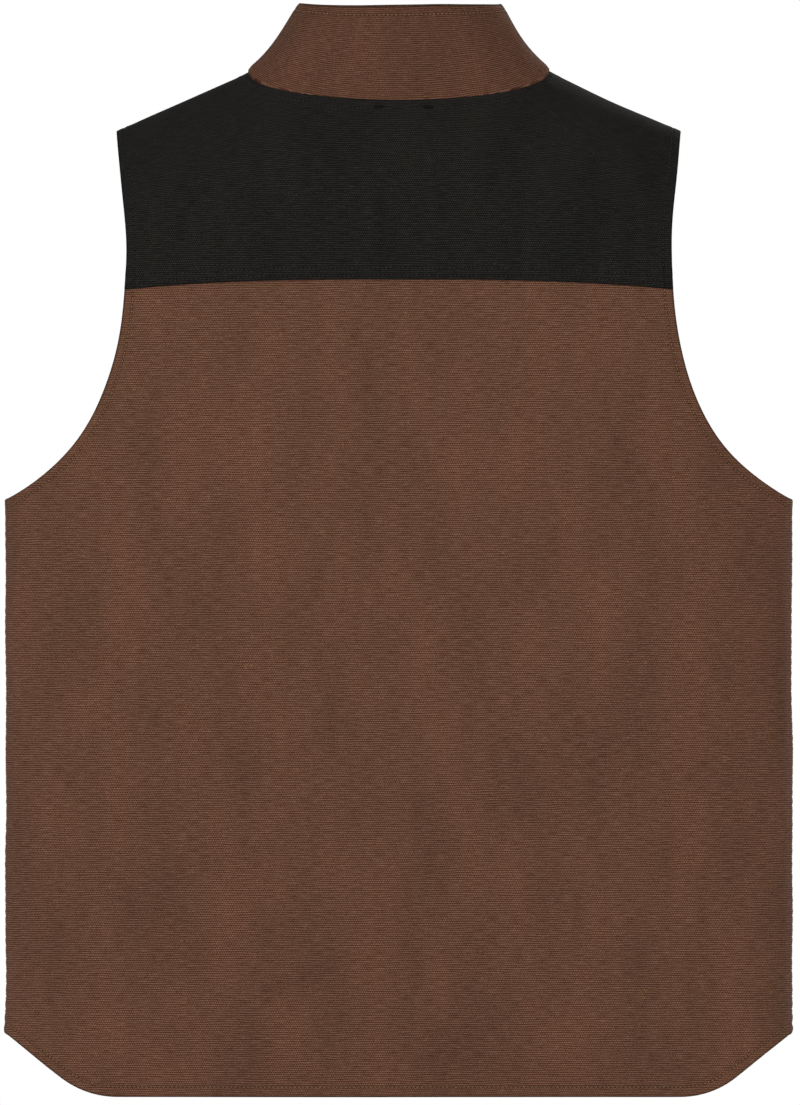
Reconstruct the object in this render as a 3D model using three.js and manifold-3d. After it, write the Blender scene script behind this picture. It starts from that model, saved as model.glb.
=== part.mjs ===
// A two-tone canvas work vest, standing open as it does on a hanger.
// Millimetres, +Z up. The wearer faces +Y and the wearer's left is -X.
// The origin is midway between the high points of the shoulders, where a hanger carries the vest.
import * as THREE from "three";
import { mergeVertices } from "three/addons/utils/BufferGeometryUtils.js";
import Module from "manifold-3d";

const wasm = await Module();
wasm.setup();

// Driving dimensions. Drops are measured down from the high point of the shoulder.
const chestHalfWidth = 287;
const bodyDepth = 120;
const sectionPower = 3; // 2 is an ellipse, more is squarer
const backLength = 750;
const frontLength = 706;
const neckHalfWidth = 108;
const backNeckDrop = 22.5;
const frontNeckDrop = 85;
const shoulderHalfWidth = 206;
const shoulderDrop = 45;
const backShoulderRound = 150; // drop over which the back turns from the shoulder ridge to upright
const frontShoulderRound = 105;
const forwardSeamTurn = 0.5; // radians past the shoulder ridge, on the front
const armholeHalfWidth = 199; // at its narrowest across the back
const armholeNarrowDrop = 133;
const armholeDepth = 314;
const frontArmholeScoop = 9;
const armholeFacingWidth = 14;
const yokeDrop = 153.5;
const yokeDip = 7; // how much lower the yoke seam is at the armholes
const hemCornerWidth = 81; // from the side seam in to where the back hem is level
const hemRadius = 65;
const hemAngle = THREE.MathUtils.degToRad(38);
const frontHemStep = 3; // the front hem above the back hem, at the side seam
const hemFacingWidth = 25;
const collarHeight = 70; // at the centre back
const collarFrontTop = -14; // height of the collar's top edge at the centre front
const collarTopHalfWidth = 74;
const collarBackY = -33;
const collarSeamLift = 1.1; // the collar's foot above the neck seam
const collarSideLift = 2; // and further above it at the sides of the neck
const collarPartSwing = 20; // degrees that the collar's parting turns back from the fold
const collarPartRise = 0.4; // share of the collar's height over which it turns
const collarPartGap = 0.5; // between the parted pieces of the collar
const shellWall = 2;
const liningWall = 5;
const collarLiningWall = 3;
const gap = 0.3; // between pieces that touch
const foldX = 85; // where the open fronts fold back
const foldStandOff = 1.5; // fold axis in front of the canvas
const zipSlotHalfWidth = 9;
const pocketInnerX = 95;
const pocketWidth = 145;
const pocketTopDrop = 432;
const pocketHeight = 175;
const pocketTopDepth = 13;
const pocketBottomDepth = 24;
const pocketWall = 2;
const flapRise = 20; // flap seam above the pocket's mouth
const flapRamp = 16; // drop over which the flap comes out over the pocket
const flapLength = 66;
const flapOverhang = 2;
const flapClearance = 2.4; // room for the snap stud under the flap
const snapRadius = 7.5;
const snapHeight = 2.2;
const snapTaper = 0.86; // a snap's outer face, as a share of its foot
const studRadius = 5;
const studHeight = 1.6;
const snapFromFlapEdge = 16;
const chestZipX = 118;
const chestZipDrop = 178;
const chestZipLength = 140;
const chestTapeWidth = 18;
const chestTeethWidth = 5.2;
const chestTeethThickness = 2;
const chestStop = 5; // tape left bare past each end of the teeth
const chestSliderWidth = 9;
const chestSliderLength = 12;
const chestBagWidth = 58;
const chestBagWall = 1.5;
const loopHalfSpan = 18;
const loopDrop = 26;
const loopStandOff = 9;
const loopBelowSeam = 8;
const loopClearance = 2.6; // from the lining to the middle of the loop's sewn ends
const loopWidth = 4;
const loopThickness = 1.8;
const labelWidth = 60;
const labelHeight = 38;
const labelThickness = 0.8;
const labelBelowSeam = 42;

// Zip hardware
const teethInner = 1.3;
const teethOuter = 5.9;
const teethThickness = 3;
const tapeThickness = 1;
const sliderWidth = 11.6;
const sliderLength = 14;
const plateThickness = 1.2;
const dividerWidth = 1.8;
const boxHeight = 12;
const boxWall = 0.4;
const pinHeight = 14;
const sliderBelowEdge = 3; // the slider's top below the collar's top edge, at the centre front
const bridgeWidth = 1.6;
const bridgeLength = 9.6;
const bridgeBar = 1.4;
const bridgeRoom = 2.6; // under the bridge, where the pull's crossbar turns
const pullWidth = 8;
const pullLength = 34;
const pullThickness = 1.4;
const pullArm = 1.6;
const pullWindow = 6.4;

const BACK = -1;
const FRONT = 1;
const halfDepth = bodyDepth / 2;
const quarterTurn = Math.PI / 2;
const hemFlatHalfWidth = chestHalfWidth - hemCornerWidth;

// Materials
const canvas = (name, color, roughness) =>
  new THREE.MeshStandardMaterial({ name, color, roughness, metalness: 0 });
const brownDuck = canvas("brown_duck", 0x60412f, 0.9);
const blackDuck = canvas("black_duck", 0x201f1d, 0.9);
const quilting = canvas("quilting", 0x2b2a29, 0.85);
const webbing = canvas("webbing", 0x1a1918, 0.8);
const labelCloth = canvas("label_cloth", 0x3a3734, 0.8);
const brass = new THREE.MeshStandardMaterial({
  name: "brass",
  color: 0x8a6a3c,
  roughness: 0.35,
  metalness: 1,
});

// ---- The vest's surface -------------------------------------------------
// A level section is a superellipse. Girth runs from -1 at the left side seam, through 0 at the
// centre, to 1 at the right side seam. Turn is 0 along the shoulder ridge, positive down the front
// and negative down the back, and the cloth is upright from a quarter turn on.

function reach(x) {
  return (1 - Math.abs(x / chestHalfWidth) ** sectionPower) ** (1 / sectionPower);
}

function girthOf(x) {
  return 1 - Math.atan2(reach(x), x / chestHalfWidth) / quarterTurn;
}

function sectionAt(girth) {
  const angle = (1 - girth) * quarterTurn;
  const c = Math.cos(angle);
  const s = Math.sin(angle);
  const k = (Math.abs(c) ** sectionPower + Math.abs(s) ** sectionPower) ** (-1 / sectionPower);
  return { x: chestHalfWidth * k * c, share: k * s };
}

function ridge(x) {
  const slope = shoulderDrop / (shoulderHalfWidth - neckHalfWidth);
  const out = Math.abs(x) - neckHalfWidth;
  if (out > 0) return -slope * out;
  return (slope * neckHalfWidth * (1 - (x / neckHalfWidth) ** 2)) / 2;
}

const roundOf = (side) => (side === BACK ? backShoulderRound : frontShoulderRound);

function turnOf(x, z, side) {
  const fall = Math.max(0, (ridge(x) - z) / roundOf(side));
  return side * (fall < 1 ? Math.acos(1 - fall) : quarterTurn + fall - 1);
}

const spot = (side, x, z) => [girthOf(x), turnOf(x, z, side)];

function surface(girth, turn) {
  const { x, share } = sectionAt(girth);
  const side = turn < 0 ? BACK : FRONT;
  const t = Math.abs(turn);
  const upright = t >= quarterTurn;
  const drop = roundOf(side) * (upright ? 1 + t - quarterTurn : 1 - Math.cos(t));
  const depth = halfDepth * share * (upright ? 1 : Math.sin(t));
  return new THREE.Vector3(x, side * depth, ridge(x) - drop);
}

// The unit normal of any two-parameter surface, from small steps along both parameters.
function normalOf(at, a, b) {
  const step = 1e-4;
  const alongA = at(a + step, b).sub(at(a - step, b));
  const alongB = at(a, b + step).sub(at(a, b - step));
  return alongA.cross(alongB).normalize();
}

function offsetSurface(distance) {
  return (girth, turn) => {
    const p = surface(girth, turn);
    const d = typeof distance === "function" ? distance(p) : distance;
    return p.addScaledVector(normalOf(surface, girth, turn), d);
  };
}

// ---- Nets and sheets ----------------------------------------------------

const steps = (count) => Array.from({ length: count + 1 }, (_, i) => i / count);
const lerp = THREE.MathUtils.lerp;
const line = (count, from, to) => steps(count).map((t) => lerp(from, to, t));

// A closed sheet over a net of parameter pairs, between an inner and an outer surface.
function sheet(net, innerAt, outerAt) {
  const rows = net.length;
  const columns = net[0].length;
  const count = rows * columns;
  const points = [...net.flat().map((p) => outerAt(...p)), ...net.flat().map((p) => innerAt(...p))];
  const index = [];
  const quad = (a, b, c, d) => index.push(a, b, c, a, c, d);
  for (let i = 0; i + 1 < rows; i++) {
    for (let j = 0; j + 1 < columns; j++) {
      const a = i * columns + j;
      const b = a + columns;
      quad(a, b, b + 1, a + 1);
      quad(count + a, count + a + 1, count + b + 1, count + b);
    }
  }
  const edge = [];
  for (let j = 0; j + 1 < columns; j++) edge.push(j);
  for (let i = 0; i + 1 < rows; i++) edge.push((i + 1) * columns - 1);
  for (let j = columns - 1; j > 0; j--) edge.push((rows - 1) * columns + j);
  for (let i = rows - 1; i > 0; i--) edge.push(i * columns);
  edge.forEach((a, k) => {
    const b = edge[(k + 1) % edge.length];
    quad(a, b, b + count, a + count);
  });
  const geometry = new THREE.BufferGeometry().setFromPoints(points);
  geometry.setIndex(index);
  return facingOut(geometry);
}

function facingOut(geometry) {
  const p = geometry.getAttribute("position");
  const index = geometry.index.array;
  const corner = (i) => new THREE.Vector3().fromBufferAttribute(p, index[i]);
  let volume = 0;
  for (let i = 0; i < index.length; i += 3) {
    volume += corner(i).dot(corner(i + 1).cross(corner(i + 2)));
  }
  if (volume < 0) {
    for (let i = 0; i < index.length; i += 3) {
      [index[i + 1], index[i + 2]] = [index[i + 2], index[i + 1]];
    }
  }
  return geometry;
}

// ---- Joining and cutting ------------------------------------------------

function solid(geometry) {
  const plain = geometry.clone();
  plain.deleteAttribute("normal");
  plain.deleteAttribute("uv");
  const merged = mergeVertices(plain, 1e-3);
  const vertProperties = new Float32Array(merged.getAttribute("position").array);
  const triVerts = new Uint32Array(merged.index.array);
  return new wasm.Manifold(new wasm.Mesh({ numProp: 3, vertProperties, triVerts }));
}

function geometryOf(body) {
  const mesh = body.getMesh();
  const geometry = new THREE.BufferGeometry();
  geometry.setAttribute("position", new THREE.BufferAttribute(mesh.vertProperties, 3));
  geometry.setIndex(new THREE.BufferAttribute(mesh.triVerts, 1));
  geometry.computeVertexNormals();
  return geometry;
}

const join = (first, ...rest) =>
  geometryOf(rest.reduce((body, next) => body.add(solid(next)), solid(first)));
const cut = (body, tool) => geometryOf(solid(body).subtract(solid(tool)));
const common = (body, tool) => geometryOf(solid(body).intersect(solid(tool)));

// ---- The group ----------------------------------------------------------

const vest = new THREE.Group();
vest.name = "work_vest";

function add(name, geometry, material, parent = vest) {
  if (!geometry.getAttribute("normal")) geometry.computeVertexNormals();
  const mesh = new THREE.Mesh(geometry, material);
  mesh.name = name;
  parent.add(mesh);
  return mesh;
}

const sides = [
  ["left", -1],
  ["right", 1],
];

// A box given by its lowest and highest corners.
function block(x0, x1, y0, y1, z0, z1) {
  const box = new THREE.BoxGeometry(x1 - x0, y1 - y0, z1 - z0);
  return box.translate((x0 + x1) / 2, (y0 + y1) / 2, (z0 + z1) / 2);
}

// An outline in X and Z, given a thickness along Y from y0.
function plate(shape, y0, thickness) {
  const geometry = new THREE.ExtrudeGeometry(shape, {
    depth: thickness,
    bevelEnabled: false,
    curveSegments: 5,
  });
  return geometry.rotateX(quarterTurn).translate(0, y0 + thickness, 0);
}

// ---- Layers of cloth ----------------------------------------------------
// Every layer is a sheet over the same girths, so that layers lie parallel facet by facet. Pattern
// pieces are outlines in X and Z, cut straight through their layer.

const girths = line(24, -1, 1);
const far = 400; // past every edge of the cloth
const halfGap = gap / 2;

// Turns of a side's rows, rising, so that every layer splits its facets the same way.
function turnRows(side) {
  const last = quarterTurn + (backLength + far / 4) / roundOf(side);
  const rows = [...line(5, 0, quarterTurn), ...line(2, quarterTurn, last).slice(1)];
  return side === FRONT ? rows : rows.map((turn) => -turn).reverse();
}

const layerNet = (turns) => turns.map((turn) => girths.map((girth) => [girth, turn]));
const wholeTurns = [...turnRows(BACK), ...turnRows(FRONT).slice(1)];

function layer(turns, inner, outer) {
  return sheet(layerNet(turns), offsetSurface(inner), offsetSurface(outer));
}

const depths = {
  shell: [-shellWall, 0],
  facing: [-shellWall * 2 - gap, -shellWall - gap],
  lining: [-shellWall - gap - liningWall, -shellWall - gap],
};
const layers = Object.fromEntries(
  Object.entries(depths).map(([name, [inner, outer]]) => [
    name,
    { [BACK]: layer(turnRows(BACK), inner, outer), [FRONT]: layer(turnRows(FRONT), inner, outer) },
  ]),
);

const outlineShape = (points) => new THREE.Shape(points.map(([x, z]) => new THREE.Vector2(x, z)));

function prism(points, side, margin = halfGap) {
  return plate(outlineShape(points), side === BACK ? -far : margin, far - margin);
}

const mirror = (points) => points.map(([x, z]) => [-x, z]).reverse();
const handed = (points, hand) => (hand < 0 ? mirror(points) : points);
const piece = (kind, side, points) => common(layers[kind][side], prism(points, side));

// ---- Pattern lines, drawn for the right half ----------------------------

const armholeCurve = new THREE.CurvePath();
armholeCurve.add(
  new THREE.CubicBezierCurve(
    new THREE.Vector2(shoulderHalfWidth, -shoulderDrop),
    new THREE.Vector2(lerp(armholeHalfWidth, shoulderHalfWidth, 0.57), -0.6 * armholeNarrowDrop),
    new THREE.Vector2(armholeHalfWidth, -0.8 * armholeNarrowDrop),
    new THREE.Vector2(armholeHalfWidth, -armholeNarrowDrop),
  ),
);
armholeCurve.add(
  new THREE.CubicBezierCurve(
    new THREE.Vector2(armholeHalfWidth, -armholeNarrowDrop),
    new THREE.Vector2(armholeHalfWidth, -lerp(armholeNarrowDrop, armholeDepth, 0.6)),
    new THREE.Vector2(
      lerp(armholeHalfWidth, chestHalfWidth, 0.42),
      -lerp(armholeNarrowDrop, armholeDepth, 0.85),
    ),
    new THREE.Vector2(chestHalfWidth, -armholeDepth),
  ),
);

// The armhole edge, at a share of its way from the shoulder to the side seam, moved into the cloth.
function armhole(side, share, inset) {
  const second = share >= 0.5;
  const curve = armholeCurve.curves[second ? 1 : 0];
  const t = second ? 2 * share - 1 : 2 * share;
  const p = curve.getPoint(t);
  const tangent = curve.getTangent(t);
  const scoop = side === FRONT ? frontArmholeScoop * Math.sin(Math.PI * share) ** 2 : 0;
  return [p.x + tangent.y * inset - scoop, p.y - tangent.x * inset];
}

// From above the shoulder, down the armhole between two heights, and out past the side seam.
function armholeEdge(side, inset = 0, top = far, bottom = -far) {
  const points = line(20, 0, 1).map((share) => armhole(side, share, inset));
  const [first] = points;
  const last = points[points.length - 1];
  const whole = [[first[0], far], ...points, [last[0] + far, last[1] - 0.5 * far]];
  const crossing = (z) => {
    const i = whole.findIndex(([, height]) => height <= z);
    const [[x0, z0], [x1, z1]] = [whole[i - 1], whole[i]];
    return [lerp(x0, x1, (z - z0) / (z1 - z0)), z];
  };
  const inside = whole.filter(([, z]) => z < top && z > bottom);
  const start = top < far ? [crossing(top)] : [[first[0], far]];
  const end = bottom > -far ? [crossing(bottom)] : [whole[whole.length - 1]];
  return [...start, ...inside, ...end];
}

// The neck seam from an angle to another: 0 at the centre back, pi at the centre front.
function neckPoint(angle) {
  const c = Math.cos(angle);
  return [neckHalfWidth * Math.sin(angle), c > 0 ? -backNeckDrop * c : frontNeckDrop * c];
}

function neckSpot(angle) {
  const [x, z] = neckPoint(angle);
  return spot(Math.cos(angle) > 0 ? BACK : FRONT, x, z);
}

const neckEdge = (from, to, count) => line(count, from, to).map(neckPoint);
const frontNeckAngle = (x) => Math.PI - Math.asin(x / neckHalfWidth);
const forwardDrop = frontShoulderRound * (1 - Math.cos(forwardSeamTurn));
const forwardSeamZ = (x) => ridge(x) - forwardDrop;

// The angle at which the front neck seam meets the forward shoulder seam.
function forwardNeckAngle() {
  let low = quarterTurn;
  let high = Math.PI;
  for (let i = 0; i < 40; i++) {
    const middle = (low + high) / 2;
    const [x, z] = neckPoint(middle);
    if (z > forwardSeamZ(x)) low = middle;
    else high = middle;
  }
  return low;
}

const yokeZ = (x) => -yokeDrop - yokeDip * Math.abs(x / armholeHalfWidth) ** 3;
const overLine = (xs, heightAt) => xs.map((x) => [x, heightAt(x)]);

function backHemZ(x) {
  const out = Math.abs(x) - hemFlatHalfWidth;
  const arc = hemRadius * Math.sin(hemAngle);
  if (out <= 0) return -backLength;
  if (out < arc) return -backLength + hemRadius - Math.sqrt(hemRadius ** 2 - out ** 2);
  return -backLength + hemRadius * (1 - Math.cos(hemAngle)) + (out - arc) * Math.tan(hemAngle);
}

const frontHemSide = backHemZ(chestHalfWidth) + frontHemStep;
const frontHemZ = (x) => lerp(-frontLength, frontHemSide, (x / chestHalfWidth) ** 2);
const outX = chestHalfWidth + 10;
const hemXs = [outX, ...line(8, chestHalfWidth, hemFlatHalfWidth)];

// ---- Back ---------------------------------------------------------------

const both = (half) => [...half, ...mirror(half)];
const armAt = (heightAt, shift) => heightAt(armholeHalfWidth) + shift;

const backPanel = both([
  ...overLine(line(6, 0, armholeHalfWidth - 1), (x) => yokeZ(x) - halfGap).slice(1),
  ...armholeEdge(BACK, 0, armAt(yokeZ, -halfGap)),
  ...overLine(hemXs, backHemZ),
]);
add("back_panel", piece("shell", BACK, backPanel), brownDuck);

const yokeBack = both([
  ...neckEdge(0, quarterTurn, 10).slice(1),
  [neckHalfWidth, far],
  ...armholeEdge(BACK, 0, far, armAt(yokeZ, halfGap)),
  ...overLine(line(6, armholeHalfWidth - 1, 0), (x) => yokeZ(x) + halfGap).slice(0, -1),
]);
const seamXs = line(6, neckPoint(forwardNeckAngle())[0], shoulderHalfWidth);
const yokeOver = [
  [neckHalfWidth, far],
  [shoulderHalfWidth, far],
  ...overLine([...seamXs].reverse(), (x) => forwardSeamZ(x) + halfGap),
  ...neckEdge(forwardNeckAngle(), quarterTurn, 3).slice(1),
];
const overlap = 0.02;
const yokeCutter = join(
  plate(outlineShape(yokeBack), -far, far + overlap),
  plate(outlineShape(yokeOver), 0, far),
  plate(outlineShape(mirror(yokeOver)), 0, far),
);
const wholeShell = layer(wholeTurns, ...depths.shell);
add("yoke", common(wholeShell, yokeCutter), blackDuck);

const liningInset = armholeFacingWidth + gap;
const liningHem = (hemAt) => (x) => hemAt(x) + hemFacingWidth + gap;
const backLining = both([
  ...neckEdge(0, quarterTurn, 10).slice(1),
  [neckHalfWidth, far],
  ...armholeEdge(BACK, liningInset),
  ...overLine(hemXs, liningHem(backHemZ)),
]);
add("back_lining", piece("lining", BACK, backLining), quilting);

// The back lining and the clearance round it, which the collar's lining keeps out of.
const [liningInside, liningOutside] = depths.lining;
const backLiningSpace = common(
  layer(turnRows(BACK), liningInside - gap, liningOutside + gap),
  prism(backLining.map(([x, z]) => [x, z + gap]), BACK),
);

const hemStrip = (hemAt, xs) => [
  ...overLine(xs, (x) => hemAt(x) + hemFacingWidth),
  ...overLine([...xs].reverse(), hemAt),
];
const backHemXs = [...hemXs.map((x) => -x), ...[...hemXs].reverse()];
const backHem = piece("facing", BACK, hemStrip(backHemZ, backHemXs));
add("back_hem_facing", backHem, brownDuck);

// ---- Chest pocket bag, between the canvas and the lining ----------------

const chestZipTop = -chestZipDrop;
const chestZipBottom = chestZipTop - chestZipLength;
const bagX0 = -chestZipX + chestTapeWidth / 2;
const bagFront = -shellWall - gap;
const bagLayer = (grow) =>
  layer(turnRows(FRONT), bagFront - chestBagWall - grow, bagFront + grow);
const bagBlock = (grow) =>
  block(
    bagX0 - chestBagWidth - grow,
    bagX0 + grow,
    0,
    far,
    chestZipBottom - grow,
    chestZipTop + grow,
  );
const bag = common(bagLayer(0), bagBlock(0));
const bagSpace = common(bagLayer(gap), bagBlock(gap));
add("chest_pocket_bag", bag, webbing);

// ---- Fronts -------------------------------------------------------------
// The side parts are sewn to the back. The edge parts, inside the fold, open with the zip.

const foldOut = foldX + halfGap;
const foldIn = foldX - halfGap;
const frontXs = line(4, chestHalfWidth, foldOut);
const sideYokeXs = line(4, foldOut, armholeHalfWidth - frontArmholeScoop - 2);

const frontYoke = [
  ...neckEdge(frontNeckAngle(foldOut), forwardNeckAngle(), 6),
  ...overLine(seamXs, (x) => forwardSeamZ(x) - halfGap).slice(1, -1),
  ...armholeEdge(FRONT, 0, forwardSeamZ(shoulderHalfWidth) - halfGap, armAt(yokeZ, halfGap)),
  ...overLine([...sideYokeXs].reverse(), (x) => yokeZ(x) + halfGap),
];
const frontPanel = [
  ...overLine(sideYokeXs, (x) => yokeZ(x) - halfGap),
  ...armholeEdge(FRONT, 0, armAt(yokeZ, -halfGap)),
  [outX, frontHemZ(outX)],
  ...overLine(frontXs, frontHemZ),
];
const frontLining = [
  ...neckEdge(frontNeckAngle(foldOut), quarterTurn, 8),
  [neckHalfWidth, far],
  ...armholeEdge(FRONT, liningInset),
  [outX, liningHem(frontHemZ)(outX)],
  ...overLine(frontXs, liningHem(frontHemZ)),
];
const edgeXs = line(4, zipSlotHalfWidth, foldIn);
const edgeNeck = neckEdge(frontNeckAngle(zipSlotHalfWidth), frontNeckAngle(foldIn), 8);
const edgeYoke = [
  ...edgeNeck,
  ...overLine([...edgeXs].reverse(), (x) => yokeZ(x) + halfGap),
];
const edgePanel = [
  ...overLine(edgeXs, (x) => yokeZ(x) - halfGap),
  ...overLine([...edgeXs].reverse(), frontHemZ),
];
const edgeFacing = [...edgeNeck, ...overLine([...edgeXs].reverse(), frontHemZ)];

function armholeStrip(side) {
  const outer = armholeEdge(side);
  const inner = armholeEdge(side, armholeFacingWidth);
  return [...inner, ...outer.reverse()];
}

for (const [name, hand] of sides) {
  const sewn = (label, kind, side, points, material) =>
    add(`${name}_${label}`, piece(kind, side, handed(points, hand)), material);
  sewn("front_yoke", "shell", FRONT, frontYoke, blackDuck);
  sewn("front_panel", "shell", FRONT, frontPanel, brownDuck);
  const lining = piece("lining", FRONT, handed(frontLining, hand));
  add(`${name}_front_lining`, hand < 0 ? cut(lining, bagSpace) : lining, quilting);
  sewn("front_hem_facing", "facing", FRONT, hemStrip(frontHemZ, [outX, ...frontXs]), brownDuck);
  sewn("back_armhole_facing", "facing", BACK, armholeStrip(BACK), blackDuck);
  sewn("front_armhole_facing", "facing", FRONT, armholeStrip(FRONT), blackDuck);
  sewn("front_yoke_edge", "shell", FRONT, edgeYoke, blackDuck);
  sewn("front_edge_panel", "shell", FRONT, edgePanel, brownDuck);
  sewn("front_facing", "facing", FRONT, edgeFacing, brownDuck);
}

// ---- Stand collar -------------------------------------------------------

const collarMiddleY = (halfDepth + collarBackY) / 2;
const collarRadiusY = (halfDepth - collarBackY) / 2;
const collarTopZ = collarHeight - backNeckDrop;

// A point of the collar: its angle runs as the neck seam's does, and rise is 0 at the seam.
function collarAt(angle, rise) {
  const a = Math.abs(angle);
  const base = surface(...neckSpot(a));
  base.z += collarSeamLift + collarSideLift * Math.sin(a) ** 2;
  const towardsFront = a > quarterTurn ? Math.cos(a) ** 2 : 0;
  const top = new THREE.Vector3(
    collarTopHalfWidth * Math.sin(a),
    collarMiddleY - collarRadiusY * Math.cos(a),
    lerp(collarTopZ, collarFrontTop, towardsFront),
  );
  const p = base.lerp(top, rise);
  p.x *= Math.sign(angle) || 1;
  return p;
}

function collarOffset(distance) {
  return (angle, rise) => {
    const p = collarAt(angle, rise);
    const around = collarAt(angle + 1e-3, rise).sub(collarAt(angle - 1e-3, rise));
    const upwards = collarAt(angle, rise + 1e-3).sub(collarAt(angle, rise - 1e-3));
    return p.addScaledVector(around.cross(upwards).normalize(), distance);
  };
}

const foldY = halfDepth * reach(foldX) + foldStandOff;

// The angle at which the collar is parted: over the fold at the seam, then further round the side.
function collarPart(rise) {
  const swing = collarPartSwing * Math.min(1, rise / collarPartRise);
  const bearing = THREE.MathUtils.degToRad(270 - swing);
  const across = (angle) => {
    const p = collarAt(angle, rise);
    return Math.cos(bearing) * (p.y - foldY) - Math.sin(bearing) * (p.x - foldX);
  };
  let low = quarterTurn;
  let high = Math.PI - 0.2;
  for (let i = 0; i < 40; i++) {
    const middle = (low + high) / 2;
    if (across(middle) > 0) low = middle;
    else high = middle;
  }
  return low;
}

function collarEdge(rise) {
  const width = lerp(neckHalfWidth, collarTopHalfWidth, rise);
  return Math.PI - Math.asin(zipSlotHalfWidth / width);
}

const collarRises = line(7, 0, 1);
const partGap = collarPartGap / collarTopHalfWidth;

function collarNet(from, to, columns) {
  return collarRises.map((rise) => line(columns, from(rise), to(rise)).map((a) => [a, rise]));
}

const collarSheet = (net, inner, outer) => sheet(net, collarOffset(inner), collarOffset(outer));
const liningOuter = -shellWall - gap;
const collarLiningInner = liningOuter - collarLiningWall;
const backHalf = (rise) => collarPart(rise) - partGap;
const backCollar = collarNet((rise) => -backHalf(rise), backHalf, 16);
add("collar_back", collarSheet(backCollar, -shellWall, 0), brownDuck);
const neckLining = collarSheet(backCollar, collarLiningInner, liningOuter);
add("collar_back_lining", cut(neckLining, backLiningSpace), brownDuck);
for (const [name, hand] of sides) {
  const from = (rise) => hand * (collarPart(rise) + partGap);
  const to = (rise) => hand * collarEdge(rise);
  const net = collarNet(from, to, 6);
  add(`${name}_collar_front`, collarSheet(net, -shellWall, 0), brownDuck);
  add(`${name}_collar_front_lining`, collarSheet(net, collarLiningInner, liningOuter), brownDuck);
}

// ---- Hang loop and label ------------------------------------------------

const liningInner = liningOuter - liningWall;
const insideBack = offsetSurface(liningInner - loopClearance);
const loopTop = insideBack(...spot(BACK, loopHalfSpan, -backNeckDrop - loopBelowSeam));
const loopPath = new THREE.CatmullRomCurve3(
  [-1, -0.92, 0, 0.92, 1].map((share) => {
    const down = Math.abs(share) === 1 ? 0 : 1 - 0.5 * Math.abs(share);
    return new THREE.Vector3(
      share * loopHalfSpan,
      loopTop.y + loopStandOff * down,
      loopTop.z - loopDrop * down,
    );
  }),
);
const loopSection = new THREE.Shape([
  new THREE.Vector2(-loopThickness / 2, -loopWidth / 2),
  new THREE.Vector2(loopThickness / 2, -loopWidth / 2),
  new THREE.Vector2(loopThickness / 2, loopWidth / 2),
  new THREE.Vector2(-loopThickness / 2, loopWidth / 2),
]);
add(
  "hang_loop",
  new THREE.ExtrudeGeometry(loopSection, { steps: 20, extrudePath: loopPath }),
  webbing,
);
const labelTop = -backNeckDrop - labelBelowSeam;
const labelOuter = liningInner - gap;
const labelLayer = layer(turnRows(BACK), labelOuter - labelThickness, labelOuter);
const labelHalf = labelWidth / 2;
const labelBlock = block(-labelHalf, labelHalf, -far, 0, labelTop - labelHeight, labelTop);
add("neck_label", common(labelLayer, labelBlock), labelCloth);

// ---- Zip hardware -------------------------------------------------------

// A slider's outline: square at the foot, with rounded shoulders above it.
function sliderShape(width, length) {
  const half = width / 2;
  const round = width * 0.38;
  const shape = new THREE.Shape();
  shape.moveTo(-half * 0.8, 0);
  shape.lineTo(half * 0.8, 0);
  shape.lineTo(half, length - round);
  shape.quadraticCurveTo(half, length, half - round, length);
  shape.lineTo(round - half, length);
  shape.quadraticCurveTo(-half, length, -half, length - round);
  shape.closePath();
  return shape;
}

// The bridge that holds the pull, standing on a plate whose outer face is at y.
function bridge(y, middle) {
  const foot = y - 0.4;
  const top = y + bridgeRoom + bridgeBar;
  const half = bridgeWidth / 2;
  const low = middle - bridgeLength / 2;
  const high = middle + bridgeLength / 2;
  return [
    block(-half, half, foot, top, low, low + bridgeBar),
    block(-half, half, foot, top, high - bridgeBar, high),
    block(-half, half, y + bridgeRoom, top, low, high),
  ];
}

// A pull tab whose crossbar is centred on the origin, hanging down.
function pullTab() {
  const half = pullWidth / 2;
  const bar = pullThickness / 2;
  const shape = new THREE.Shape();
  shape.moveTo(-half, bar);
  shape.lineTo(-half * 0.8, -pullLength + half);
  shape.quadraticCurveTo(-half * 0.8, -pullLength, 0, -pullLength);
  shape.quadraticCurveTo(half * 0.8, -pullLength, half * 0.8, -pullLength + half);
  shape.lineTo(half, bar);
  shape.closePath();
  const inner = half - pullArm;
  const hole = new THREE.Path();
  hole.moveTo(-inner, -bar);
  hole.lineTo(inner, -bar);
  hole.lineTo(inner, -bar - pullWindow);
  hole.lineTo(-inner, -bar - pullWindow);
  hole.closePath();
  shape.holes.push(hole);
  return plate(shape, -pullThickness / 2, pullThickness);
}

const zipY = halfDepth - teethThickness / 2;
const boxTop = -frontLength + boxHeight;
const teethBottom = boxTop + gap;
const sliderTop = collarFrontTop - sliderBelowEdge;
const sliderBottom = sliderTop - sliderLength;
const teethTop = sliderBottom - gap;
const halfTeeth = teethThickness / 2;
const halfTape = tapeThickness / 2;
const tapeInner = teethOuter + gap;
const tapeOuter = zipSlotHalfWidth - gap;

for (const [name, hand] of sides) {
  const strip = (x0, x1, half, z0, z1) => {
    const [a, b] = hand < 0 ? [-x1, -x0] : [x0, x1];
    return block(a, b, zipY - half, zipY + half, z0, z1);
  };
  const low = hand < 0 ? teethBottom : teethBottom + pinHeight + gap;
  add(`${name}_zip_teeth`, strip(teethInner, teethOuter, halfTeeth, low, teethTop), brass);
  add(`${name}_zip_tape`, strip(tapeInner, tapeOuter, halfTape, teethBottom, teethTop), webbing);
}

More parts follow.
